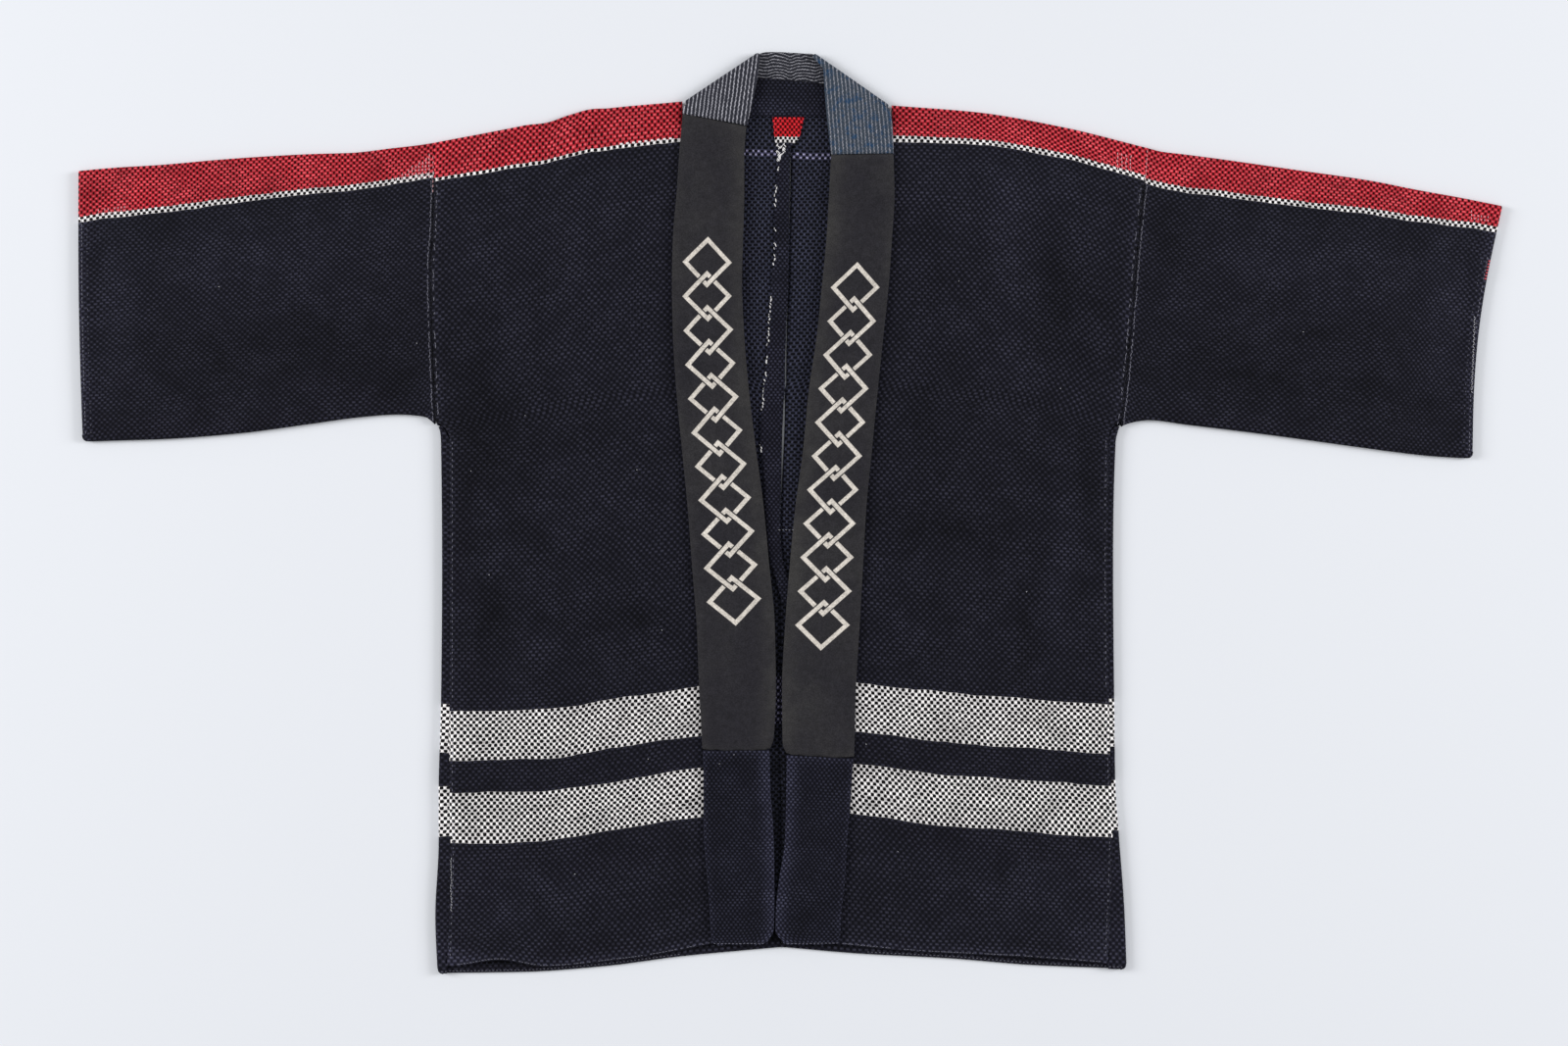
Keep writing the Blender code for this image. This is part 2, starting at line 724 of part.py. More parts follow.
NAVY = (0.014, 0.014, 0.021)
BLACK = (0.024, 0.023, 0.029)
SLATE = (0.089, 0.091, 0.112)
RED = (0.296, 0.018, 0.024)
for node, colour, roughness in (
        ("body_right", NAVY, 0.85), ("body_left", NAVY, 0.85),
        ("sleeve_right", RED, 0.85), ("sleeve_left", RED, 0.85),
        ("collar_right", BLACK, 0.8), ("collar_left", BLACK, 0.8),
        ("collar_lower_right", NAVY, 0.85), ("collar_lower_left", NAVY, 0.85),
        ("collar_neck", SLATE, 0.85), ("collar_base", NAVY, 0.85),
        ("centre_back_seam_allowance", NAVY, 0.85)):
    finish_material(node, colour, roughness)
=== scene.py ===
"""A happi coat laid flat on a pale table, front side up, seen from straight above.

Left and right are the wearer's, so the right half lies at -X. The tables hold millimetres
on the table top: x across the coat, y up towards the collar, and "down" is the distance
along the cloth from the shoulder fold.
"""

import math
import random

import bmesh
import bpy
import numpy as np
from mathutils import Matrix, Vector
from mathutils.bvhtree import BVHTree


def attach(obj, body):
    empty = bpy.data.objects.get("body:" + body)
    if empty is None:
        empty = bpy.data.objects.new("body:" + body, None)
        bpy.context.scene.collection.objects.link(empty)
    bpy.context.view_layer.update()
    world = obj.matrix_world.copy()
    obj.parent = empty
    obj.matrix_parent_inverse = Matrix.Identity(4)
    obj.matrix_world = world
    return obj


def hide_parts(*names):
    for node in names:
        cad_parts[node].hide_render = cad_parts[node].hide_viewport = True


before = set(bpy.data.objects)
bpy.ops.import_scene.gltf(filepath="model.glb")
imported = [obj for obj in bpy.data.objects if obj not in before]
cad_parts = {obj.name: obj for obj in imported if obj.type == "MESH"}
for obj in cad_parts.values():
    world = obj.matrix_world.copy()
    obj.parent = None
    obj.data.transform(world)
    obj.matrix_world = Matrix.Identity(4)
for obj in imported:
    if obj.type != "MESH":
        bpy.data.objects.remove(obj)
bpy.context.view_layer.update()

# Camera
# It hangs straight above the coat and frames it as a copy stand does, with the image's
# top towards the collar. The frame is 1392 mm wide at the cloth.
MM = 0.001
VIEW_CENTRE = (-4.8, -9.1)
VIEW_WIDTH = 1392
LENS = 50
FILM = 36

camera = bpy.data.objects.new("camera", bpy.data.cameras.new("camera"))
camera.data.lens = LENS
camera.data.sensor_width = FILM
camera.location = (VIEW_CENTRE[0] * MM, VIEW_CENTRE[1] * MM, VIEW_WIDTH / FILM * LENS * MM)
bpy.context.scene.collection.objects.link(camera)
bpy.context.scene.camera = camera
bpy.context.scene.view_settings.view_transform = "Standard"

# Table top and studio light
# A matt pale board lies just under the cloth. Light comes from a wide white room and from
# two low soft boxes, left and right, whose slanting light leaves soft shadows at the sides.
BOARD_SIZE = 8.0
BOARD_BELOW = 0.4
BOARD_COLOUR = "EDF0F6"
ROOM_LIGHT = 0.46
SOFT_BOXES = (
    ("soft_box_left", (-4.7, 0.9, 2.1), 2.0, 183),
    ("soft_box_right", (4.9, 0.8, 2.1), 2.0, 183),
)


def linear(code):
    """Turn an sRGB hex code into linear red, green, blue and alpha."""
    parts = [int(code[start:start + 2], 16) / 255 for start in (0, 2, 4)]
    shades = [part / 12.92 if part <= 0.04045 else ((part + 0.055) / 1.055) ** 2.4
              for part in parts]
    return (*shades, 1)


def add(tree, kind, inputs=None, stops=None, **settings):
    """Put one node into a material, set it up and link or fill its inputs."""
    node = tree.nodes.new(kind)
    for name, value in settings.items():
        setattr(node, name, value)
    if stops:
        ramp = node.color_ramp
        while len(ramp.elements) < len(stops):
            ramp.elements.new(1)
        for element, (place, colour) in zip(ramp.elements, stops):
            element.position = place
            element.color = colour
    for socket, source in (inputs or {}).items():
        if isinstance(source, bpy.types.Node):
            source = source.outputs[0]
        if isinstance(source, bpy.types.NodeSocket):
            tree.links.new(source, node.inputs[socket])
        else:
            node.inputs[socket].default_value = source
    return node


def maths(tree, operation, *values, clamp=False):
    """One sum in a material, from nodes or plain numbers."""
    return add(tree, "ShaderNodeMath", dict(enumerate(values)), operation=operation,
               use_clamp=clamp)


def vector_maths(tree, operation, *values):
    """One sum of colours or places in a material."""
    return add(tree, "ShaderNodeVectorMath", dict(enumerate(values)), operation=operation)


def noise(tree, place, scale, detail, roughness=0.5):
    """Cloudy noise over a place, finer with a greater scale."""
    return add(tree, "ShaderNodeTexNoise",
               {"Vector": place, "Scale": scale, "Detail": detail, "Roughness": roughness})


def remap(tree, value, start, end, low=0.0, high=1.0, kind="LINEAR"):
    """Read a value that runs from start to end as one that runs from low to high."""
    return add(tree, "ShaderNodeMapRange",
               {"Value": value, "From Min": start, "From Max": end, "To Min": low,
                "To Max": high}, interpolation_type=kind)


def mix(tree, share, first, second):
    """Blend two colours: a share of 0 is the first and 1 the second."""
    return add(tree, "ShaderNodeMix", {"Factor": share, 6: first, 7: second},
               data_type="RGBA").outputs[2]


def from_middle(tree, value):
    """How far a value is from the middle of its whole step, up to half a step."""
    part = maths(tree, "FRACT", value)
    return maths(tree, "ABSOLUTE", maths(tree, "SUBTRACT", part, 0.5))


def paint_cloth(tree, shader, colour, height, strength, depth):
    """Give the shader its colour, and a fine relief with a strength and a depth in mm."""
    tree.links.new(colour.outputs[0], shader.inputs["Base Color"])
    bump = add(tree, "ShaderNodeBump", {"Height": height, "Strength": strength,
                                        "Distance": depth * MM})
    tree.links.new(bump.outputs[0], shader.inputs["Normal"])


def new_material(name, roughness, specular, sheen=0.0):
    """Start a matt material and hand back its nodes and its shader."""
    material = bpy.data.materials.new(name)
    material.use_nodes = True
    shader = material.node_tree.nodes["Principled BSDF"]
    shader.inputs["Roughness"].default_value = roughness
    shader.inputs["Specular IOR Level"].default_value = specular
    shader.inputs["Sheen Weight"].default_value = sheen
    return material, material.node_tree, shader


def plain_paint(name, colour, roughness, specular):
    """A matt material of one colour."""
    material, _, shader = new_material(name, roughness, specular)
    shader.inputs["Base Color"].default_value = linear(colour)
    return material


board_mesh = bmesh.new()
bmesh.ops.create_grid(board_mesh, x_segments=1, y_segments=1, size=BOARD_SIZE / 2)
bmesh.ops.translate(board_mesh, verts=board_mesh.verts, vec=(0, 0, -BOARD_BELOW * MM))
board_data = bpy.data.meshes.new("board")
board_mesh.to_mesh(board_data)
board_mesh.free()
board = bpy.data.objects.new("board", board_data)
bpy.context.scene.collection.objects.link(board)
board_data.materials.append(plain_paint("matt_painted_board", BOARD_COLOUR, 0.9, 0.1))

room = bpy.data.worlds.new("white_room")
room.use_nodes = True
room.node_tree.nodes["Background"].inputs["Color"].default_value = (1, 1, 1, 1)
room.node_tree.nodes["Background"].inputs["Strength"].default_value = ROOM_LIGHT
bpy.context.scene.world = room
for name, place, size, power in SOFT_BOXES:
    lamp = bpy.data.lights.new(name, "AREA")
    lamp.shape = "SQUARE"
    lamp.size = size
    lamp.energy = power
    soft_box = bpy.data.objects.new(name, lamp)
    soft_box.location = place
    soft_box.rotation_euler = (-Vector(place)).to_track_quat("-Z", "Y").to_euler()
    bpy.context.scene.collection.objects.link(soft_box)

# Body halves
# Each half is one straight length of narrow quilted-weave cotton that runs from the front
# hem over the shoulder, with no shoulder seam, to the back hem. The back's edge laps round
# on to the front, where it is sewn to the front's edge at the side seam.
CLOTH = 1.8
SEAM_GAP = 0.3
CENTRE_GAP = 0.04
FOLD_GAP = 1.2
TUCKED_GAP = 0.5
HALF = CLOTH / 2
TUCK_WIDTH = 9
RISE_WIDTH = 34
LAP_START = 253
LAP_CELLS = 4
UNDERARM = 250
SIDE_START = 266
FRONT_TUCK = 14
FRONT_HEM = 741
BACK_HEM = 748
NECK_SEAM = 13
HALF_NECK = 92
SIDE_STEP = 25
LEAST_GAP = 0.25
CELL = 4.6
FOLD_ANGLES = (67, 45, 22, 0, -22, -45, -67)

# The armhole seam of each side: y, x
ARMHOLE = {
    "right": ((77, -313.4), (82, -313.6), (124, -315.4), (168, -317.1), (212, -318),
              (257, -315.6), (298, -314.5), (330, -314.5)),
    "left": ((72, 292.6), (97, 296.0), (121, 298.6), (146, 300.9), (176, 303.5),
             (229, 307.8), (269, 311.8), (296, 314.6), (325, 316.4)),
}
# Front of each half: down, side x, x of the edge under the collar, and y at the side,
# one third in, two thirds in and at the collar edge
FRONT = {
    "right": (
        (0, -314.5, -94.9, 328, 342, 357.5, 364.5),
        (14, -314.5, -95.0, 314, 328, 344, 351),
        (33, -315, -91, 296, 308, 323, 331),
        (120, -318, -99, 211, 221, 235, 244),
        (250, -314, -95, 80, 89, 104, 113),
        (253, -307.5, -95, 77.5, 86, 101, 110),
        (258, -304, -95, 73.5, 81, 95, 104),
        (266, -301, -94, 67, 74, 87, 97),
        (390, -301, -84, -53, -50, -38, -27),
        (514, -301, -75, -175, -174, -164, -152),
        (558, -301, -74, -219, -218, -207, -196),
        (588, -301, -72, -248, -247, -237, -224),
        (632, -300, -71, -293, -291, -279, -268),
        (741, -303, -64, -401, -402, -395, -381),
    ),
    "left": (
        (0, 316.2, 90.6, 323.5, 342, 355, 361),
        (14, 315.6, 91.0, 310, 330, 343, 348),
        (31, 315, 87, 298, 318, 330, 332),
        (120, 307, 86, 215, 231, 241, 245),
        (250, 295, 74, 80, 98, 109, 115),
        (253, 287.6, 74, 77.5, 95, 106, 112),
        (258, 284.8, 73, 74, 91, 101, 107),
        (266, 283, 72, 68, 84, 94, 99),
        (390, 282, 61, -48, -40, -32, -25),
        (514, 283, 54, -169, -164, -158, -149),
        (558, 284, 53, -213, -208, -202, -192),
        (588, 285, 51, -242, -237, -231, -221),
        (632, 286, 49, -288, -282, -276, -265),
        (741, 282, 40, -399, -393, -389, -382),
    ),
}
# Back of each half: down, x of the side fold, x below the collar corner, x of the centre
# seam, and y at the side, one third, two thirds, the collar corner and the centre seam
BACK = {
    "right": (
        (0, -314.5, -94.9, 0, 328, 342, 357.5, 364.5, 364.5),
        (13, -314.5, -95.0, 0, 315, 329, 345, 351.3, 351.3),
        (45, -315, -92, 0, 283, 297, 312, 319, 318),
        (120, -318, -92, 0, 211, 221, 235, 244, 246),
        (250, -314, -90, -4, 79.5, 90, 103, 112, 116),
        (253, -311.2, -90, -4, 76.5, 87, 100, 109, 113),
        (258, -309.6, -90, -4, 71.5, 82, 94.5, 104, 108),
        (266, -309, -90, -5, 63, 74, 86, 96, 100),
        (390, -308, -89, -8, -53, -50, -38, -27, -19),
        (514, -309, -88, -8, -173, -173, -164, -152, -144),
        (588, -311, -87, -8, -246, -246, -237, -224, -217),
        (632, -311, -87, -7, -291, -291, -279, -268, -261),
        (700, -314, -88, -7, -358, -358, -345, -334, -325),
        (748, -312, -94, -7, -408, -407, -402, -393, -385),
    ),
    "left": (
        (0, 316.2, 90.6, 1, 323.5, 342, 355, 361, 364.5),
        (13, 315.6, 91.0, 1, 311, 331, 344, 351.3, 351.3),
        (45, 315, 87, 1, 282, 300, 313, 318, 318),
        (120, 307, 87, 0, 215, 231, 241, 245, 246),
        (250, 295, 85, -3, 79.5, 98, 109, 115, 116),
        (253, 292.6, 85, -3, 76.5, 95, 106, 112, 113),
        (258, 291.2, 85, -4, 72, 90, 101, 107, 108),
        (266, 289.4, 85, -4, 64.5, 82, 93, 98, 100),
        (390, 287, 82, -8, -48, -40, -32, -25, -19),
        (514, 288, 80, -8, -167, -164, -157, -149, -144),
        (588, 289, 76, -8, -239, -237, -231, -221, -217),
        (632, 292, 74, -7, -284, -282, -276, -265, -261),
        (700, 297, 70, -7, -352, -348, -339, -331, -325),
        (748, 299, 65, -7, -404, -401, -395, -391, -385),
    ),
}
# Low soft ridges of the upper layer: x, y, heading in degrees, length, width, height
RIDGES = (
    (-179, 194, -80, 170, 70, 1.5),
    (-257, -2, -55, 150, 44, 1.8),
    (-214, -160, -86, 220, 60, 1.4),
    (-130, -250, -74, 150, 60, 1.0),
    (-263, -395, 0, 62, 60, 2.1),
    (200, 194, -88, 190, 46, 1.7),
    (130, 60, -96, 160, 60, 1.0),
    (241, -70, -91, 210, 44, 1.8),
    (240, 8, -122, 150, 40, 1.2),
    (150, -260, -92, 190, 64, 1.2),
    (-440, 176, -18, 220, 56, 1.8),
    (-590, 200, -86, 170, 56, 1.2),
    (413, 140, 12, 150, 44, 1.7),
    (520, 190, -82, 160, 64, 1.4),
)
# Finer creases on top of them, troughs below zero, in the same columns
CREASES = (
    (-236, 250, -72, 110, 26, 0.5),
    (-150, 262, -84, 90, 22, -0.5),
    (-268, 96, -38, 90, 20, -0.6),
    (-246, 72, -46, 110, 18, 0.6),
    (-216, 40, -58, 120, 20, -0.5),
    (-190, -60, -84, 150, 24, 0.5),
    (-266, -110, -88, 110, 16, -0.6),
    (-150, -92, -10, 90, 18, -0.4),
    (-240, -240, -82, 130, 22, 0.5),
    (-120, -330, -70, 90, 24, -0.4),
    (-206, -372, -88, 70, 22, 0.5),
    (176, 210, -90, 200, 18, 0.6),
    (222, 196, -86, 150, 14, -0.7),
    (244, 190, -84, 110, 16, 0.5),
    (262, 90, -128, 100, 16, -0.6),
    (250, 60, -118, 130, 18, 0.7),
    (216, 20, -112, 120, 20, -0.5),
    (267, -14, -90, 90, 14, -0.6),
    (232, -130, -92, 190, 18, 0.5),
    (112, -60, -96, 170, 24, -0.4),
    (100, 160, -92, 150, 24, 0.5),
    (190, -330, -90, 90, 24, 0.4),
    (-350, 290, -12, 60, 20, 0.5),
    (-352, 150, -40, 80, 18, -0.6),
    (-376, 128, -34, 110, 18, 0.5),
    (-470, 140, -14, 150, 20, -0.6),
    (-520, 232, -20, 110, 24, 0.5),
    (-560, 120, -72, 90, 20, 0.5),
    (356, 246, -52, 70, 26, -0.7),
    (340, 130, 40, 90, 16, -0.5),
    (372, 146, 28, 110, 16, 0.6),
    (430, 122, 14, 120, 14, -0.5),
    (452, 236, -20, 110, 26, 0.5),
    (526, 108, -6, 120, 24, -0.7),
    (584, 160, -78, 110, 20, 0.5),
)
# The right shoulder fold is pulled down and then up again beside a crease: x, width, drop
SHOULDER_CREASE = ((-214, 22, 2.2), (-177, 18, -1.4))
CREASE_FADE = 60
# Patches where the cloth is painted paler, above zero, or darker: x, y, heading, length, width,
# amount
SHADES = (
    (-466, 224, 10, 440, 120, 0.28),
    (-601, 168, 88, 260, 90, 0.25),
    (-457, 142, 6, 340, 90, -0.22),
    (-361, 120, 0, 120, 70, -0.3),
    (-420, 165, -30, 120, 20, -0.15),
    (-170, 255, 0, 340, 180, 0.22),
    (-292, 240, 80, 200, 60, 0.15),
    (-179, 150, 0, 210, 150, 0.15),
    (-266, 81, -60, 220, 110, -0.28),
    (-240, 104, -70, 90, 16, -0.2),
    (-284, 0, 90, 280, 60, -0.22),
    (-179, 20, 0, 200, 120, 0.12),
    (-261, -89, 90, 100, 60, -0.32),
    (-144, -93, 4, 120, 38, -0.32),
    (-206, -96, 0, 60, 26, -0.18),
    (-214, -120, 0, 120, 36, 0.15),
    (-248, -345, 0, 220, 110, 0.3),
    (-298, -394, -20, 76, 36, 1.0),
    (-218, -354, -60, 100, 28, -0.2),
    (-150, -330, 0, 120, 60, 0.12),
    (204, 281, -6, 400, 150, 0.28),
    (195, 203, -88, 320, 60, 0.3),
    (234, 200, -90, 220, 44, -0.28),
    (282, 160, -84, 160, 40, -0.12),
    (204, 124, 0, 130, 60, 0.14),
    (108, -10, 0, 150, 60, -0.28),
    (178, -19, 0, 100, 50, -0.24),
    (239, -67, -90, 280, 38, 0.26),
    (208, -102, -90, 160, 30, -0.24),
    (265, 37, -90, 110, 40, -0.3),
    (120, 90, -80, 140, 60, -0.14),
    (221, -337, 0, 280, 100, 0.3),
    (274, -380, 0, 90, 46, 0.6),
    (290, -394, 0, 56, 30, 0.5),
    (187, -332, 84, 110, 26, -0.24),
    (130, -370, 0, 90, 30, 0.2),
    (448, 220, -8, 420, 100, 0.34),
    (339, 242, -50, 150, 70, -0.38),
    (413, 124, -5, 320, 70, -0.28),
    (404, 137, 25, 130, 14, 0.24),
    (372, 150, 30, 110, 14, -0.2),
    (452, 155, 10, 130, 20, -0.2),
    (587, 177, 80, 260, 90, 0.34),
    (560, 96, 0, 110, 40, -0.2),
)
# How far the dyed bands of the lap lie above the front's
LAP_SLIP = {"right": 4.4, "left": 3.0}
# The narrow gap between the lower collars is in shade: from, to, how much
INSIDE_SHADOW = (380, 440, 0.5)
# Radius of the rounded corners at the back's hem and at the cuffs
HEM_CORNER = 4
HEM_ROLL = 9
HEM_LIFT = 0.7
# The right front's hem arches up off the back's, so the inside shows: x, width, reach, rise
HEM_ARCH = (-257, 42, 70, 6.0)
SEAM_GROOVE = 5
SEAM_DEPTH = 0.7
RED_END = 38
PUCKER_REACH = 20
PUCKER_HEIGHT = 0.45
# Wear along the edges, painted shadow under the front's hem and painted shade in the armhole
# seam: amount and reach
SEAM_WEAR = (0.3, 7)
FRONT_HEM_WEAR = (0.9, 9)
BACK_HEM_WEAR = (0.6, 8)
BACK_HEM_PAINTED_SHADOW = (-0.8, 9)
BACK_HEM_SHADOW_AT = 14
# Painted shade darkens the armhole seam's groove
ARMHOLE_GROOVE_SHADE = (-1.1, 3)
ARMHOLE_PALE = 0.45
ARMHOLE_REACH = 12
LAP_PALE = 0.15
# Which way is outwards along x on each side
OUTWARD = {"right": -1, "left": 1}


def smooth(keys, values, at):
    """Read a curve without overshoot that passes through the given points."""
    keys = np.asarray(keys, float)
    values = np.asarray(values, float)
    at = np.asarray(at, float)
    if keys[0] > keys[-1]:
        keys = keys[::-1]
        values = values[::-1]
    step = np.diff(keys)
    slope = np.diff(values) / step
    tangent = np.empty_like(values)
    tangent[0] = slope[0]
    tangent[-1] = slope[-1]
    same_way = slope[:-1] * slope[1:] > 0
    weight_a = 2 * step[1:] + step[:-1]
    weight_b = step[1:] + 2 * step[:-1]
    safe_a = np.where(same_way, slope[:-1], 1.0)
    safe_b = np.where(same_way, slope[1:], 1.0)
    mean = (weight_a + weight_b) / (weight_a / safe_a + weight_b / safe_b)
    tangent[1:-1] = np.where(same_way, mean, 0.0)
    at = np.clip(at, keys[0], keys[-1])
    left = np.clip(np.searchsorted(keys, at, side="right") - 1, 0, len(step) - 1)
    part = (at - keys[left]) / step[left]
    return ((1 + 2 * part) * (1 - part) ** 2 * values[left]
            + part * (1 - part) ** 2 * step[left] * tangent[left]
            + part ** 2 * (3 - 2 * part) * values[left + 1]
            + part ** 2 * (part - 1) * step[left] * tangent[left + 1])


def read(table, index, at):
    """The value of a table's column at one place along its first column."""
    return smooth([row[0] for row in table], [row[index] for row in table], at)


def window(distance, reach):
    """A soft rise and fall, 1 in the middle and 0 from `reach` outwards."""
    return 0.5 + 0.5 * np.cos(np.pi * np.clip(np.abs(distance) / reach, 0, 1))


def fade(distance, patch):
    """The amount of a patch, such as wear or painted shadow, given with its reach, at a distance
    from it.
    """
    return patch[0] * window(distance, patch[1])


def spread(table, x, y):
    """The sum of all soft oblong patches of a table at each place."""
    total = np.zeros(np.broadcast(x, y).shape)
    for patch_x, patch_y, heading, length, width, amount in table:
        turn = math.radians(heading)
        along = (x - patch_x) * math.cos(turn) + (y - patch_y) * math.sin(turn)
        across = (y - patch_y) * math.cos(turn) - (x - patch_x) * math.sin(turn)
        total += amount * window(along, length / 2) * window(across, width / 2)
    return total


def gap(x, y):
    """Room between the two layers, wider under each ridge."""
    return FOLD_GAP + spread(RIDGES, x, y)


def shoulder_shift(side, x, down):
    """How far the right shoulder fold's crease moves the cloth in y."""
    if side == "left":
        return np.zeros_like(x)
    drops = sum(drop * window(x - at, width) for at, width, drop in SHOULDER_CREASE)
    return -drops * window(down, CREASE_FADE)


def front_row(side, down, parts):
    """Places across the front at one distance down, from the side to the collar."""
    table = FRONT[side]
    x_side = float(read(table, 1, down))
    if down <= UNDERARM:
        x_side = float(read(ARMHOLE[side], 1, read(table, 3, down)))
    x_inner = float(read(table, 2, down))
    ys = [float(read(table, index, down)) for index in range(3, 7)]
    x = x_side + parts * (x_inner - x_side)
    y = smooth((0, 1 / 3, 2 / 3, 1), ys, parts)
    arch_x, arch_width, reach, rise = HEM_ARCH
    y = y + rise * window(x - arch_x, arch_width) * window(FRONT_HEM - down, reach)
    return x, y + shoulder_shift(side, x, down)


def back_row(side, down, parts):
    """Places across the back: 0 is the side, 1 below the collar, 2 the centre seam."""
    table = BACK[side]
    x_side = float(read(table, 1, down))
    if down <= UNDERARM:
        x_side = float(read(ARMHOLE[side], 1, read(table, 4, down)))
    x_collar = float(read(table, 2, down))
    x_centre = float(read(table, 3, down)) + OUTWARD[side] * CENTRE_GAP / 2
    ys = [float(read(table, index, down)) for index in range(4, 9)]
    x = np.where(parts <= 1, x_side + parts * (x_collar - x_side),
                 x_collar + (parts - 1) * (x_centre - x_collar))
    key_x = [x_side + share * (x_collar - x_side) for share in (0, 1 / 3, 2 / 3, 1)]
    y = smooth(key_x + [x_centre], ys, x)
    return x, y + shoulder_shift(side, x, down)


def seam_puckers(chance, places, outwards):
    """Short uneven puckers that start at a seam and fade away from it."""
    table = []
    distance = 0.0
    for (x0, y0), (x1, y1) in zip(places, places[1:]):
        run = math.hypot(x1 - x0, y1 - y0)
        while distance < run:
            share = distance / run
            heading = outwards + chance.uniform(-22, 22)
            length = chance.uniform(0.8, 2.0) * PUCKER_REACH
            height = chance.uniform(0.35, 1) * PUCKER_HEIGHT * chance.choice((-1, 1))
            table.append((x0 + share * (x1 - x0), y0 + share * (y1 - y0), heading,
                          2 * length, chance.uniform(7, 13), height))
            distance += chance.uniform(7, 19)
        distance -= run
    return table


def corner_cut(from_hem):
    """How far a rounded corner draws the edge in, at a distance from the hem."""
    inside = max(HEM_CORNER - from_hem, 0)
    return HEM_CORNER - math.sqrt(HEM_CORNER ** 2 - inside ** 2)


def relief(puckers, x, y, from_seam, from_hem, roll):
    """How far creases, puckers, the seam's groove and the rolled hem lift the upper layer."""
    lift = spread(CREASES, x, y) + spread(puckers, x, y)
    lift -= SEAM_DEPTH * window(from_seam, SEAM_GROOVE)
    lift += HEM_LIFT * window(max(from_hem - roll, 0), 5)
    lift -= (HEM_LIFT + 0.3) * window(from_hem, 3)
    return lift


def armhole_wear_and_groove_shade(from_seam, reach):
    """Paler with wear beside the armhole, up to a reach, and darker in the seam itself with
    painted shade of its groove.
    """
    return fade(from_seam, (ARMHOLE_PALE, reach)) + fade(from_seam, ARMHOLE_GROOVE_SHADE)


def cloth_piece(name, places, across, down, shade=0.0, present=None, tube=None):
    """Shape a grid of cloth, keep the cells that are present and store its own measures.

    A tube, "open" or "capped", has its first and last columns joined.
    """
    places = np.asarray(places)
    rows, columns = places.shape[:2]
    across, down, shade = [np.broadcast_to(values, (rows, columns))
                           for values in (across, down, shade)]
    mesh = bmesh.new()
    bmesh.ops.create_grid(mesh, x_segments=columns - 1, y_segments=rows - 1, size=0.5)
    uv = mesh.loops.layers.uv.new("cloth")
    shades = mesh.verts.layers.float.new("shade")
    cells = {}
    for vert in mesh.verts:
        cells[vert] = (round((vert.co.y + 0.5) * (rows - 1)),
                       round((vert.co.x + 0.5) * (columns - 1)))
    unused = []
    for face in mesh.faces:
        row = min(cells[vert][0] for vert in face.verts)
        col = min(cells[vert][1] for vert in face.verts)
        if present is not None and not present[row][col]:
            unused.append(face)
        for loop in face.loops:
            cell = cells[loop.vert]
            loop[uv].uv = (across[cell] * MM, down[cell] * MM)
    for vert, cell in cells.items():
        vert.co = Vector(places[cell]) * MM
        vert[shades] = shade[cell]
    bmesh.ops.delete(mesh, geom=unused, context="FACES")
    if tube:
        bmesh.ops.remove_doubles(mesh, verts=mesh.verts, dist=0.00001)
        ends = [edge for edge in mesh.edges if edge.is_boundary]
        if tube == "capped":
            bmesh.ops.holes_fill(mesh, edges=ends, sides=0)
        bmesh.ops.recalc_face_normals(mesh, faces=mesh.faces)
    data = bpy.data.meshes.new(name)
    mesh.to_mesh(data)
    mesh.free()
    data.shade_smooth()
    piece = bpy.data.objects.new(name, data)
    bpy.context.scene.collection.objects.link(piece)
    return piece


def give_thickness(piece, thickness, face, reverse):
    """Turn the thin surface into a wall with a face and a reverse."""
    piece.data.materials.append(face)
    piece.data.materials.append(reverse)
    wall = piece.modifiers.new("thickness", "SOLIDIFY")
    wall.thickness = thickness * MM
    wall.offset = 0.0
    wall.use_even_offset = False
    wall.material_offset = 1


# The quilted weave: raised weft floats in a chequer, 2.75 by 2.94 mm each on the body, with
# small holes between them painted dark as shade, so that each dyed band looks dotted and
# dusty rather than plain. The rows of floats are counted from the shoulder fold, down the
# front and the back.
FLOAT_WIDTH = 2.75
FLOAT_HEIGHT = 2.94
RED_ROWS = 11
WHITE_LINE_ROW = {"right": 10, "left": 9}
BAND_ROWS = ((175, 190), (199, 214))
HEM_ROW = 251
COAT_LENGTH = 800
# Each dye: the float's crown with a painted highlight, the yarn round it darkened by painted
# shade, the hole painted near black as shade, half the hole's width in floats
RED = ("E35B65", "A51E2A", "2A0305", 0.34)
WHITE = ("FFFCFB", "D1CECF", "040304", 0.56)
NAVY = ("31313E", "171720", "0C0C13", 0.4)
REVERSE = ("3F4154", "2A2C3A", "08080E", 0.7)
PALE_REVERSE = ("A09DBE", "3C3B52", "07070D", 0.62)
# Rows of the reverse where the white line's yarn shows through
LOOPED_ROWS = {"right": (13, 15), "left": (14, 17)}


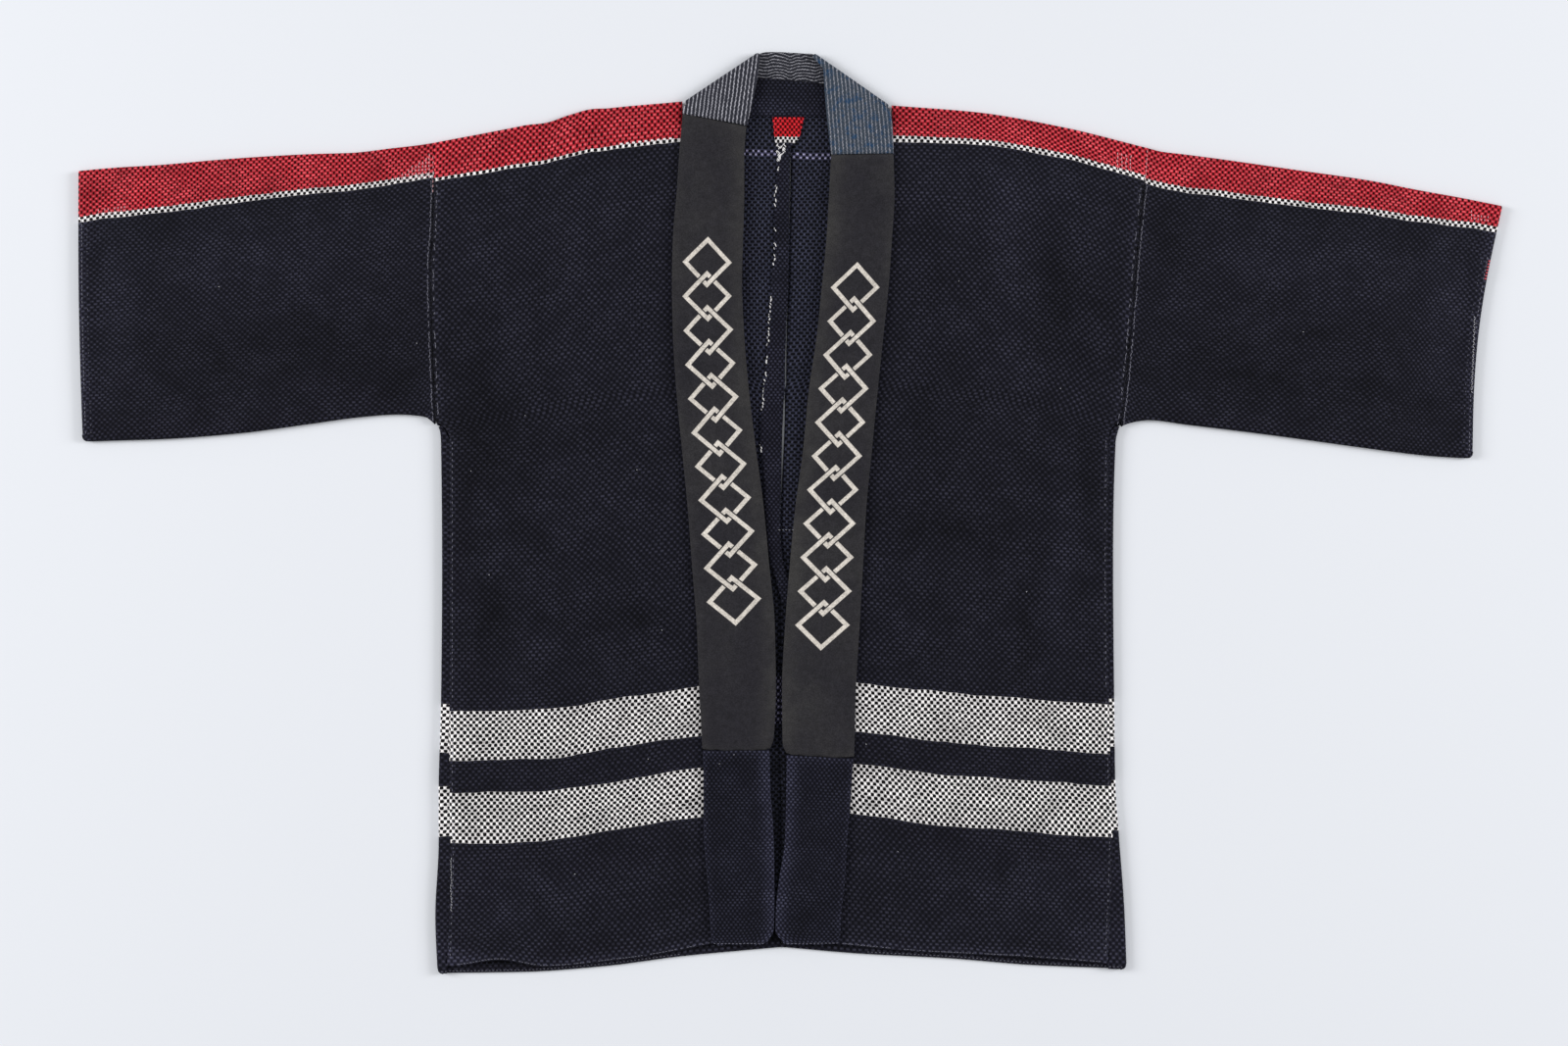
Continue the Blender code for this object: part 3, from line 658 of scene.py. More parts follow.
def woven_cotton(name, bands, hole_height=0.47, float_width=FLOAT_WIDTH,
                 float_height=FLOAT_HEIGHT):
    """Quilted-weave cotton: matt, dry and dotted, worn paler where it rubs.

    Each band is the row that it starts at and its dye. Crowns carry a painted highlight,
    holes painted shade, and the shade attribute wear as well as painted shadow.
    """
    material, tree, shader = new_material(name, 0.88, 0.1, 0.01)
    place = add(tree, "ShaderNodeUVMap", uv_map="cloth")
    # The rows wander a little and single floats are pulled
    wander = noise(tree, place, 30.0, 2.0)
    pull = noise(tree, place, 240.0, 1.0)
    for source, reach in ((wander, (0.004, 0.004, 0.0)), (pull, (0.0013, 0.001, 0.0))):
        stray = vector_maths(tree, "SUBTRACT", source.outputs["Color"], (0.5, 0.5, 0.5))
        place = vector_maths(tree, "MULTIPLY_ADD", stray, reach, place)
    parts = add(tree, "ShaderNodeSeparateXYZ", {0: place})
    across = maths(tree, "DIVIDE", parts.outputs[0], float_width * MM)
    drop = maths(tree, "DIVIDE", parts.outputs[1], float_height * MM)
    row = maths(tree, "FLOOR", drop)
    # Each row takes the dye of its band
    level = maths(tree, "MULTIPLY", maths(tree, "ADD", row, 0.5), FLOAT_HEIGHT / COAT_LENGTH)
    level = maths(tree, "ABSOLUTE", level)
    layers = []
    for layer in range(4):
        dyes = [dye[layer] for at, dye in bands]
        colours = [(dye, dye, dye, 1) if layer == 3 else linear(dye) for dye in dyes]
        stops = [(band[0] * FLOAT_HEIGHT / COAT_LENGTH, colour)
                 for band, colour in zip(bands, colours)]
        ramp = add(tree, "ShaderNodeValToRGB", {0: level}, stops=stops)
        ramp.color_ramp.interpolation = "CONSTANT"
        layers.append(ramp)
    lit_crown_colour, yarn_dye, hole_shade_colour, hole_width = layers
    # The holes stand in a chequer, painted dark as shade, with a crown painted paler as a
    # highlight on the float between them
    pair = maths(tree, "DIVIDE", maths(tree, "ADD", across, row), 2.0)
    from_hole = maths(tree, "MULTIPLY", from_middle(tree, pair), 2.0)
    from_row = from_middle(tree, drop)
    near_x = maths(tree, "POWER", maths(tree, "DIVIDE", from_hole, hole_width), 4.0)
    near_y = maths(tree, "POWER", maths(tree, "DIVIDE", from_row, hole_height), 4.0)
    thread = remap(tree, maths(tree, "ADD", near_x, near_y), 0.7, 1.3, kind="SMOOTHSTEP")
    merged = remap(tree, wander, 0.42, 0.62, 0.5, 0.95)
    crown_x = maths(tree, "DIVIDE", maths(tree, "SUBTRACT", 1.0, from_hole), merged)
    crown_y = maths(tree, "DIVIDE", from_row, 0.36)
    crown_at = add(tree, "ShaderNodeCombineXYZ", {0: crown_x, 1: crown_y})
    from_crown = vector_maths(tree, "LENGTH", crown_at).outputs["Value"]
    crown = remap(tree, from_crown, 1.1, 0.35, kind="SMOOTHSTEP")
    # No two crowns are alike, and the cloth is worn in soft patches
    chance_at = add(tree, "ShaderNodeCombineXYZ", {0: maths(tree, "FLOOR", pair), 1: row})
    chance = add(tree, "ShaderNodeTexWhiteNoise", {"Vector": chance_at},
                 noise_dimensions="2D")
    tops = vector_maths(tree, "MULTIPLY", lit_crown_colour, remap(tree, chance, 0.0, 1.0, 0.6, 1.3))
    colour = mix(tree, thread, hole_shade_colour, mix(tree, crown, yarn_dye, tops))
    # The shade attribute brightens or darkens the cloth: wear, painted patches, and painted shade
    # in the seams' grooves and under the hem
    shade = add(tree, "ShaderNodeAttribute", attribute_name="shade").outputs["Fac"]
    coordinates = add(tree, "ShaderNodeTexCoord").outputs["Object"]
    patchy = remap(tree, noise(tree, coordinates, 34.0, 4.0, 0.6), 0.3, 0.7, 0.82, 1.18)
    colour = vector_maths(tree, "MULTIPLY", colour, maths(tree, "ADD", shade, patchy))
    paint_cloth(tree, shader, colour, maths(tree, "ADD", crown, thread), 0.5, 0.3)
    return material


body_faces = {}
reverse_faces = {}
for side, (first, last) in LOOPED_ROWS.items():
    white_bands = [(0, RED), (WHITE_LINE_ROW[side], WHITE), (RED_ROWS, NAVY),
                   (BAND_ROWS[0][0], WHITE), (BAND_ROWS[0][1], NAVY),
                   (BAND_ROWS[1][0], WHITE), (BAND_ROWS[1][1], NAVY)]
    body_faces[side] = woven_cotton("quilted_cotton_banded_" + side, white_bands)
    reverse_bands = [(0, REVERSE), (first, PALE_REVERSE), (last, REVERSE),
                     (BAND_ROWS[0][0], PALE_REVERSE), (BAND_ROWS[0][1], REVERSE),
                     (HEM_ROW, NAVY)]
    reverse_faces[side] = woven_cotton("quilted_cotton_reverse_" + side, reverse_bands,
                                       hole_height=0.36)


def make_body(side):
    """One length of cloth: front, shoulder fold, back, and the lap at the side seam."""
    sign = OUTWARD[side]
    chance = random.Random("body " + side)
    width = abs(FRONT[side][0][1] - FRONT[side][0][2])
    parts = np.linspace(0, 1 - TUCK_WIDTH / width, round((width - TUCK_WIDTH) / CELL))
    parts = np.append(parts, (1 - TUCK_WIDTH / width / 2, 1))
    back_parts = np.concatenate((parts, np.linspace(1, 2, round(HALF_NECK / CELL))[1:]))
    lap_columns = LAP_CELLS + len(FOLD_ANGLES)
    count = lap_columns + len(back_parts)
    turns = np.radians(FOLD_ANGLES)
    sections = []

    def section(first, *values):
        """Keep one row of x, y, z, across, down and shade, from its first column on."""
        values = np.array(np.broadcast_arrays(*values))
        last = first + values.shape[1]
        columns = np.arange(count - 1)
        row = np.zeros((len(values), count))
        row[:, first:last] = values
        sections.append((row, (columns >= first) & (columns < last - 1)))

    def seam_x(down):
        return float(front_row(side, down, np.zeros(1))[0][0])

    def fold_x(down):
        return float(read(BACK[side], 1, down))

    outwards = 180 if sign > 0 else 0
    puckers = seam_puckers(chance, [(x, y) for y, x in ARMHOLE[side]], outwards)
    puckers += seam_puckers(chance, [(seam_x(down), float(read(FRONT[side], 3, down)))
                                     for down in range(SIDE_START, FRONT_HEM, SIDE_STEP)],
                            outwards)

    # The front, from its hem up
    front_step = (FRONT_HEM - FRONT_TUCK) / round((FRONT_HEM - FRONT_TUCK) / CELL)
    front_downs = list(np.arange(FRONT_HEM, FRONT_TUCK + front_step / 2, -front_step))
    front_downs[1:1] = [FRONT_HEM - 1.5, FRONT_HEM - 3]
    for down in front_downs + [FRONT_TUCK]:
        x, y = front_row(side, down, parts)
        from_seam = np.abs(x - x[0])
        from_hem = FRONT_HEM - down
        inwards = np.clip((np.abs(x - x[-1]) - TUCK_WIDTH) / RISE_WIDTH, 0, 1)
        risen = 1 - window(inwards, 1)
        room = TUCKED_GAP + (gap(x, y) - TUCKED_GAP) * risen
        room += (relief(puckers, x, y, from_seam, from_hem, HEM_ROLL)
                 * np.clip(risen * 3, 0, 1))
        # worn is the edges' wear, and beside the armhole also the painted shade of the seam's
        # groove
        worn = fade(from_seam, SEAM_WEAR) + fade(from_hem, FRONT_HEM_WEAR)
        if RED_END < down < UNDERARM:
            worn = worn + armhole_wear_and_groove_shade(from_seam, ARMHOLE_REACH)
        section(lap_columns, x, y, CLOTH + HALF + np.maximum(room, LEAST_GAP),
                np.abs(x - fold_x(down)), down, worn + spread(SHADES, x, y))

    # The shoulder fold
    x, y = front_row(side, 0, parts)
    radius = (CLOTH + gap(x, y)) / 2
    for turn in np.radians((90, *FOLD_ANGLES, -90)):
        section(lap_columns, x, y - radius - HALF + radius * math.cos(turn),
                HALF + radius + radius * math.sin(turn), np.abs(x - fold_x(0)),
                radius * turn, spread(SHADES, x, y))

    # The back, down to its hem, with the lap beside it from the underarm on
    back_step = (BACK_HEM - NECK_SEAM) / round((BACK_HEM - NECK_SEAM) / CELL)
    back_downs = list(np.arange(NECK_SEAM, LAP_START, back_step))
    below = list(np.linspace(LAP_START, BACK_HEM, round((BACK_HEM - LAP_START) / CELL)))
    below[-1:] = [BACK_HEM - rest for rest in (HEM_CORNER / 2, HEM_CORNER / 6, 0)]
    for down in back_downs + below:
        x, y = back_row(side, down, back_parts)
        from_hem = BACK_HEM - down
        # Painted shadow under the front's hem, and painted shade on the back's inside further
        # down where it shows between the lower collars, beside the hem's wear
        shade = (fade(from_hem, BACK_HEM_WEAR)
                 + fade(from_hem - BACK_HEM_SHADOW_AT, BACK_HEM_PAINTED_SHADOW)
                 - INSIDE_SHADOW[2] * np.interp(down, INSIDE_SHADOW[:2], (0, 1)))
        if down < LAP_START:
            section(lap_columns, x, y, HALF, np.abs(x - fold_x(down)), -down, shade)
            continue
        lap_end = seam_x(down) + sign * SEAM_GAP
        lap_shade = LAP_PALE + spread(SHADES, x[0], y[0])
        radius = float((CLOTH + gap(seam_x(down), y[0])) / 2)
        shift = -sign * (radius + HALF + corner_cut(from_hem))
        centre_x = x[0] + shift
        lap_x = np.linspace(lap_end, centre_x, LAP_CELLS)
        groove = SEAM_DEPTH * window(lap_x - lap_end, SEAM_GROOVE)
        x = x + shift * np.clip(1 - back_parts, 0, 1)
        halves = (lap_columns, len(x))
        section(0, np.concatenate((lap_x, centre_x + sign * radius * np.cos(turns), x)),
                np.concatenate((np.full(lap_columns, y[0]), y)),
                np.concatenate((HALF + 2 * radius - groove,
                                HALF + radius + radius * np.sin(turns),
                                np.full(len(x), HALF))),
                np.concatenate((-math.pi * radius - np.abs(lap_x - centre_x),
                                -radius * (turns + 0.5 * math.pi), np.abs(x - fold_x(down)))),
                np.repeat((-down - LAP_SLIP[side], -down), halves),
                np.repeat((float(lap_shade), float(shade)), halves))

    values = np.array([row for row, present in sections])
    piece = cloth_piece("body_cloth_" + side, values[:, :3].transpose(0, 2, 1), values[:, 3],
                        values[:, 4], values[:, 5], [present for row, present in sections])
    if sign > 0:
        piece.data.flip_normals()
    give_thickness(piece, CLOTH, body_faces[side], reverse_faces[side])
    return piece


body_pieces = {}
for side in ("right", "left"):
    body = make_body(side)
    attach(body, "root")
    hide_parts("body_" + side)
    body_pieces[side] = body

# Sleeves
# Each is a straight length of the same cloth, folded at the top and sewn into a flat tube
# along the bottom. The red upper part and a double white line run along the fold.
SLEEVE = {
    "right": (
        (-314.5, 328, -313.4, 78, 0),
        (-327, 326, -323, 85, -3),
        (-353, 323, -348, 87, -2),
        (-388, 319, -386, 84, 0),
        (-422, 318, -422, 79, 0),
        (-492, 314, -491, 70, 0),
        (-562, 308, -560, 65, 0),
        (-596, 306, -594, 64, 0),
        (-629.5, 303, -626, 63, -1.5),
    ),
    "left": (
        (316.2, 323.5, 292, 76, 0),
        (330, 320, 304, 80, 0),
        (347, 318, 319, 82, 0),
        (378, 314, 352, 78, 0),
        (448, 304, 425, 69, 0),
        (517, 294, 498, 59, 0),
        (552, 287, 535, 54, -2),
        (596, 279, 571, 50, -4.5),
        (631, 272, 605, 48, -7.4),
    ),
}
# How far the dyed rows lie off the fold, at shares of the way from armhole to cuff
ROW_SLIP = {
    "right": ((0, 0.3, 0.5, 0.66, 1), (9.5, 5.9, 1.8, -1.5, -5.6)),
    "left": ((0, 0.12, 0.5, 0.75, 0.85, 1), (9.3, 6.8, 8.8, 11.3, 13.7, 16.8)),
}
CUFF_ROLL = 10
CUFF_WEAR = (0.8, 12)
SLEEVE_ARMHOLE_REACH = 9
SLEEVE_WIDTH = 240
QUARTER_ANGLES = np.array((0, 22, 45, 67, 90))
SLEEVE_FLOAT_WIDTH = 2.62
SLEEVE_FLOAT_HEIGHT = 2.52
SLEEVE_RED_ROWS = 13
sleeve_face = woven_cotton("quilted_cotton_sleeve",
                           [(0, RED), (SLEEVE_RED_ROWS, WHITE), (SLEEVE_RED_ROWS + 2, NAVY)],
                           float_width=SLEEVE_FLOAT_WIDTH, float_height=SLEEVE_FLOAT_HEIGHT)


def make_sleeve(side):
    """A flat tube from the armhole seam to the open cuff."""
    sign = OUTWARD[side]
    chance = random.Random("sleeve " + side)
    table = SLEEVE[side]
    reach = [abs(row[0]) for row in table]
    length = reach[-1] - reach[0]
    alongs = list(np.linspace(reach[0], reach[-1], round(length / CELL)))
    alongs[-1:-1] = [reach[-1] - rest for rest in (3, 1.5, 0.5)]
    shares = np.linspace(0, 1, round(SLEEVE_WIDTH / CELL))[1:-1]
    puckers = seam_puckers(chance, [(x, y) for y, x in ARMHOLE[side]], 0 if sign > 0 else 180)
    places = []
    down = []
    shade = []
    for along in alongs:
        top_x, top_y, low_x, low_y, bow = [
            float(smooth(reach, [row[col] for row in table], along)) for col in range(5)]
        from_cuff = reach[-1] - along
        from_seam = along - reach[0]
        low_y += corner_cut(from_cuff)
        radius_top = float(CLOTH + gap(top_x, top_y)) / 2
        radius_low = float(CLOTH + gap(low_x, low_y)) / 2
        high = top_y - radius_top - HALF
        low = low_y + radius_low + HALF

        def across(share):
            y = high + share * (low - high)
            x = top_x + share * (low_x - top_x) + bow * np.sin(np.pi * share)
            if from_seam == 0:
                x = read(ARMHOLE[side], 1, y) + sign * SEAM_GAP
            return x, y

        def arc(share, radius, outwards, angles):
            x, y = across(np.full(len(angles), share))
            turn = np.radians(angles)
            return np.stack((x, y + outwards * radius * np.cos(turn),
                             HALF + radius + radius * np.sin(turn)), axis=1)

        x, y = across(shares)
        lift = relief(puckers, x, y, from_seam, from_cuff, CUFF_ROLL)
        upper = CLOTH + HALF + np.maximum(gap(x, y) + lift, LEAST_GAP)
        back = np.stack((x[::-1], y[::-1], np.full(len(x), HALF)), axis=1)
        front = np.stack((x, y, upper), axis=1)
        top_angles = (-90, *FOLD_ANGLES[::-1], 90)
        ring = np.concatenate((
            arc(1, radius_low, -1, -QUARTER_ANGLES), back, arc(0, radius_top, 1, top_angles),
            front, arc(1, radius_low, -1, QUARTER_ANGLES[::-1])))
        places.append(ring)
        slip = np.interp(from_seam / length, *ROW_SLIP[side])
        step = np.hypot(*(np.diff(ring[:, 1:], axis=0).T))
        run = np.concatenate(((0,), np.cumsum(step)))
        run -= run[len(QUARTER_ANGLES) + len(back) + len(top_angles) // 2]
        down.append(run + slip * np.sign(run + 0.01))
        # worn is the edges' wear, and beside the armhole also the painted shade of the seam's
        # groove
        worn = armhole_wear_and_groove_shade(from_seam, SLEEVE_ARMHOLE_REACH) + fade(from_cuff, CUFF_WEAR)
        shade.append(worn * (np.abs(down[-1]) > RED_END) + spread(SHADES, ring[:, 0], ring[:, 1]))
    piece = cloth_piece("sleeve_cloth_" + side, places, np.array(alongs)[:, None] - reach[0],
                        down, shade, tube="open")
    give_thickness(piece, CLOTH, sleeve_face, reverse_faces[side])
    return piece


sleeve_pieces = {}
for side in ("right", "left"):
    sleeve = make_sleeve(side)
    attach(sleeve, "root")
    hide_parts("sleeve_" + side)
    sleeve_pieces[side] = sleeve

# Black collar
# A long folded band of plain black cotton, sewn to the fronts' edges and worn brown-grey
# along both of its own edges. A chain of linked squares is left undyed on each side.
COLLAR = 3.0
COLLAR_SEWN_Z = 2 * CLOTH + TUCKED_GAP + SEAM_GAP + COLLAR / 2
COLLAR_FREE_Z = 5.0
EDGE_ROUND = 1.7
EDGE_ANGLES = (90, 60, 30, 0, -30, -60, -90)
BAND_CELL = 4.0
BAND_END_ROUND = 2.2
BAND_END_WEAR = 7
BAND_PUFF = 0.25
BAND_END_ROWS = np.array((0.6, 1.6))
# A band's lower end is ragged: how far up, the waves across it with their amounts, and how
# much its corners are rounded off and how far in
RAGGED_REACH = 9
RAGGED_WAVES = ((19, 0.5), (43, 0.35))
RAGGED_CORNER = (2.0, 6)
# x and y of the sewn edge, x and y of the free edge
COLLAR_RIGHT = (
    (-94.4, 352.6, -38.2, 342.0),
    (-97, 325, -40, 316),
    (-100, 281, -40, 278),
    (-103, 246, -41, 244),
    (-104, 203, -42, 203),
    (-103, 155, -40, 157),
    (-100, 107, -36, 110),
    (-95, 55, -30, 59),
    (-90, 3, -23, 7),
    (-86, -50, -18, -45),
    (-82, -102, -13, -98),
    (-80, -154, -12, -154),
    (-77.5, -200, -14, -200),
    (-77, -210, -17, -210),
)
COLLAR_LEFT = (
    (92.1, 317.4, 36.9, 316.6),
    (93, 281, 35, 281),
    (91, 246, 33, 246),
    (88, 203, 29, 203),
    (83, 155, 24, 155),
    (78, 107, 17, 107),
    (73, 55, 12, 55),
    (68, 3, 5, 3),
    (65, -50, 0, -50),
    (62, -102, -4, -102),
    (59, -154, -6.5, -154),
    (57.5, -206, -6, -204),
    (57, -217, -3, -214),
)


def band_outline(width, thickness):
    """One rounded cross-section: shares from the sewn edge, rises, distances round it."""
    edge = EDGE_ROUND / width
    turns = np.radians(EDGE_ANGLES)
    flat = np.linspace(1 - edge, edge, 2 * round(width / BAND_CELL / 2) + 1)
    middle = len(flat) // 2
    shares = np.concatenate((flat[::-1][middle:], 1 - edge + edge * np.cos(turns[::-1]),
                             flat, edge - edge * np.cos(turns), flat[::-1][:middle + 1]))
    rises = np.concatenate((np.full(len(flat) - middle, -1.0), np.sin(turns[::-1]),
                            np.ones(len(flat)), np.sin(turns),
                            np.full(middle + 1, -1.0))) * thickness / 2
    step = np.hypot(np.diff(shares) * width, np.diff(rises))
    round_way = np.concatenate(((0,), np.cumsum(step)))
    top = len(flat) - middle + len(turns) + middle
    return shares, rises, round_way - round_way[top]


def even_rows(table, cell):
    """Read a band's table at even steps along its middle, closer at both ends."""
    table = np.array(table, float)
    middle = (table[:, :2] + table[:, 2:4]) / 2
    run = np.concatenate(((0,), np.cumsum(np.hypot(*np.diff(middle, axis=0).T))))
    at = np.linspace(0, run[-1], round(run[-1] / cell))
    at = np.sort(np.concatenate((at, BAND_END_ROWS, run[-1] - BAND_END_ROWS)))
    return at, [smooth(run, table[:, col], at) for col in range(table.shape[1])]


def make_band(name, table, creases, free_wear, sewn_wear, paleness=0.0):
    """A folded band of cloth with soft round edges, from one end of its table to the other.

    Each wear is how strong it is at that edge and how far it reaches in.
    """
    wrinkle = random.Random(name).uniform(0, 6)
    at, (sewn_x, sewn_y, free_x, free_y) = even_rows(table, BAND_CELL)
    width = float(np.mean(np.hypot(free_x - sewn_x, free_y - sewn_y)))
    shares, rises, round_way = band_outline(width, COLLAR)
    upper = rises >= 0
    back_way = np.array((sewn_x[0] - sewn_x[-1], sewn_y[0] - sewn_y[-1]))
    back_way /= np.linalg.norm(back_way)
    places = []
    shade = []
    for index, along in enumerate(at):
        from_end = min(along, at[-1] - along)
        thin = 0.45 + 0.55 * math.sin(0.5 * math.pi * min(from_end / BAND_END_ROUND, 1))
        x = sewn_x[index] + shares * (free_x[index] - sewn_x[index])
        y = sewn_y[index] + shares * (free_y[index] - sewn_y[index])
        ragged = sum(wave * np.sin(shares * turns + wrinkle) for turns, wave in RAGGED_WAVES)
        ragged += fade(shares * width, RAGGED_CORNER) + fade((1 - shares) * width, RAGGED_CORNER)
        ragged *= window(at[-1] - along, RAGGED_REACH)
        x = x + ragged * back_way[0]
        y = y + ragged * back_way[1]
        rise = rises * thin
        puff = BAND_PUFF * np.sin(np.pi * shares) + spread(creases, x, y)
        level = COLLAR_SEWN_Z + shares * (COLLAR_FREE_Z - COLLAR_SEWN_Z)
        places.append(np.stack((x, y, level + rise + np.where(upper, puff, 0)), axis=1))
        worn = fade((1 - shares) * width, free_wear) + fade(shares * width, sewn_wear)
        shade.append(paleness + worn + fade(from_end, (sewn_wear[0], BAND_END_WEAR)))
    return cloth_piece(name, places, round_way, at[:, None], shade, tube="capped")


# Creases of the collar: x, y, heading, length, width, height
COLLAR_CREASES = (
    (-70, 300, 20, 60, 16, 0.3),
    (-76, 238, -16, 60, 14, -0.25),
    (-66, 150, 12, 70, 16, 0.25),
    (-70, 90, -8, 60, 14, -0.25),
    (-52, 20, 14, 60, 16, 0.3),
    (-48, -70, -12, 60, 14, -0.25),
    (-45, -160, 10, 60, 18, 0.3),
    (64, 290, -14, 60, 16, 0.3),
    (60, 220, 16, 60, 14, -0.25),
    (48, 130, -12, 60, 18, 0.25),
    (40, 60, 14, 60, 14, -0.25),
    (30, -30, -10, 60, 16, 0.3),
    (26, -120, 12, 60, 14, -0.25),
    (26, -190, -16, 60, 16, 0.3),
)
# The chain: from link to link, how many, a link's half width, its line, the room where two
# links cross, and the soft edge of the dye
CHAIN_PITCH = 60
CHAIN_LINKS = 6
CHAIN_RADIUS = 20
CHAIN_LINE = 5.2
CHAIN_CLEAR = 1.6
CHAIN_SOFT = 0.3
BLACK = "28272C"
WORN_BLACK = "3F3E3D"
CREAM = "D9D2C9"


def black_cotton(name, chain_start):
    """Plain-weave black cotton with a resist-dyed chain of linked squares."""
    material, tree, shader = new_material(name, 0.9, 0.12, 0.03)
    place = add(tree, "ShaderNodeUVMap", uv_map="cloth")
    parts = add(tree, "ShaderNodeSeparateXYZ", {0: place})
    across = maths(tree, "MULTIPLY", parts.outputs[0], 1 / MM)
    sideways = maths(tree, "ABSOLUTE", across)
    along = maths(tree, "MULTIPLY_ADD", parts.outputs[1], 1 / MM, -chain_start)
    # Two rows of squares, half a link apart
    lines = []
    gaps = []
    for shift, margin in ((0.0, 0.0), (0.5, CHAIN_PITCH / 2)):
        link = from_middle(tree, maths(tree, "MULTIPLY_ADD", along, 1 / CHAIN_PITCH, shift))
        reach = maths(tree, "MULTIPLY_ADD", link, CHAIN_PITCH, sideways)
        off = maths(tree, "ABSOLUTE", maths(tree, "SUBTRACT", reach, CHAIN_RADIUS))
        begun = maths(tree, "GREATER_THAN", along, margin)
        unended = maths(tree, "LESS_THAN", along, CHAIN_PITCH * CHAIN_LINKS - margin)
        inside = maths(tree, "MULTIPLY", begun, unended)
        edge = CHAIN_LINE / 2
        line = remap(tree, off, edge + CHAIN_SOFT, edge - CHAIN_SOFT)
        lines.append(maths(tree, "MULTIPLY", line, inside))
        edge += CHAIN_CLEAR
        clear = remap(tree, off, edge - CHAIN_SOFT, edge + CHAIN_SOFT)
        outside = maths(tree, "SUBTRACT", 1.0, inside)
        gaps.append(maths(tree, "MAXIMUM", clear, outside))
    # Where two squares cross, one passes over on the left and the other on the right
    left_side = maths(tree, "LESS_THAN", across, 0.0)
    right_side = maths(tree, "SUBTRACT", 1.0, left_side)
    under = []
    for line, clear, free_side in ((lines[0], gaps[1], left_side),
                                   (lines[1], gaps[0], right_side)):
        opened = maths(tree, "MAXIMUM", clear, free_side)
        under.append(maths(tree, "MULTIPLY", line, opened))
    chain = maths(tree, "MAXIMUM", *under)
    coordinates = add(tree, "ShaderNodeTexCoord").outputs["Object"]
    # The cotton is worn in blotches, and its threads are uneven
    mottle = noise(tree, coordinates, 60.0, 4.0)
    blotches = noise(tree, coordinates, 11.0, 4.0, 0.55)
    threads = noise(tree, coordinates, 900.0, 2.0)
    slubs = noise(tree, coordinates, 170.0, 5.0, 0.75)
    shade = add(tree, "ShaderNodeAttribute", attribute_name="shade").outputs["Fac"]
    worn = maths(tree, "ADD", shade, remap(tree, blotches, 0.38, 0.62, 0.0, 0.3))
    fleck = remap(tree, mottle, 0.35, 0.65, 0.55, 1.15)
    worn = maths(tree, "MULTIPLY", worn, fleck, clamp=True)
    cotton = mix(tree, worn, linear(BLACK), linear(WORN_BLACK))
    undyed = vector_maths(tree, "MULTIPLY", linear(CREAM)[:3],
                          remap(tree, mottle, 0.3, 0.7, 0.9, 1.05))
    grain = maths(tree, "MULTIPLY", remap(tree, threads, 0.3, 0.7, 0.72, 1.28),
                  remap(tree, slubs, 0.3, 0.7, 0.8, 1.2))
    colour = vector_maths(tree, "MULTIPLY", mix(tree, chain, cotton, undyed), grain)
    paint_cloth(tree, shader, colour, threads, 0.3, 0.2)
    return material


collar_pieces = []
for side, table, chain_start in (("right", COLLAR_RIGHT, 96), ("left", COLLAR_LEFT, 88)):
    band = make_band("collar_band_" + side, table, COLLAR_CREASES, (0.45, 20), (0.15, 8))
    band.data.materials.append(black_cotton("black_cotton_" + side, chain_start))
    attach(band, "root")
    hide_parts("collar_" + side)
    length = math.hypot(table[0][0] - table[-1][0], table[0][1] - table[-1][1]) * MM
    collar_pieces.append(band)

# Lower collar
# Below the black band the collar's own navy quilted cotton shows, down to the hem.
COLLAR_LOWER_RIGHT = (
    (-76.6, -210.4, -17.6, -210.4),
    (-76, -241, -17, -241),
    (-76, -276, -14.5, -276),
    (-74, -311, -13.4, -311),
    (-71, -345, -13.2, -345),
    (-69.5, -372, -13.6, -368),
    (-67.5, -382.5, -19, -382),
)
COLLAR_LOWER_LEFT = (
    (56.4, -217.6, -2.4, -214.6),
    (54, -258, -3, -254),
    (51, -293, -4, -289),
    (49, -328, -9, -324),
    (46, -354, -12, -350),
    (45, -374, -12.6, -370),
    (43, -382, -5, -382.5),
)
FINE_FLOAT_WIDTH = 2.0
FINE_FLOAT_HEIGHT = 2.5
BLUE_NAVY = ("343544", "181823", "0C0C14", 0.4)
lower_face = woven_cotton("quilted_cotton_navy", [(0, BLUE_NAVY)],
                          float_width=FINE_FLOAT_WIDTH, float_height=FINE_FLOAT_HEIGHT)
for side, table in (("right", COLLAR_LOWER_RIGHT), ("left", COLLAR_LOWER_LEFT)):
    band = make_band("collar_lower_band_" + side, table, (), (1.2, 15), (0.5, 5),
                     paleness=-0.14)
    band.data.materials.append(lower_face)
    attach(band, "root")
    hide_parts("collar_lower_" + side)
    collar_pieces.append(band)

# Over-collar
# A striped cotton cover is sewn over the collar round the back of the neck. It turns over
# at a slanting fold on each side, so its outside shows in front and its inside behind.
OVER_COLLAR = 3.2
NECK_STEP = 1.6
NECK_CELL = 2.5
NECK_FOLD_RADIUS = 2.0
NECK_FOLD_ANGLES = (90, 72, 54, 36, 18, 0, -18, -36, -54, -72, -90)
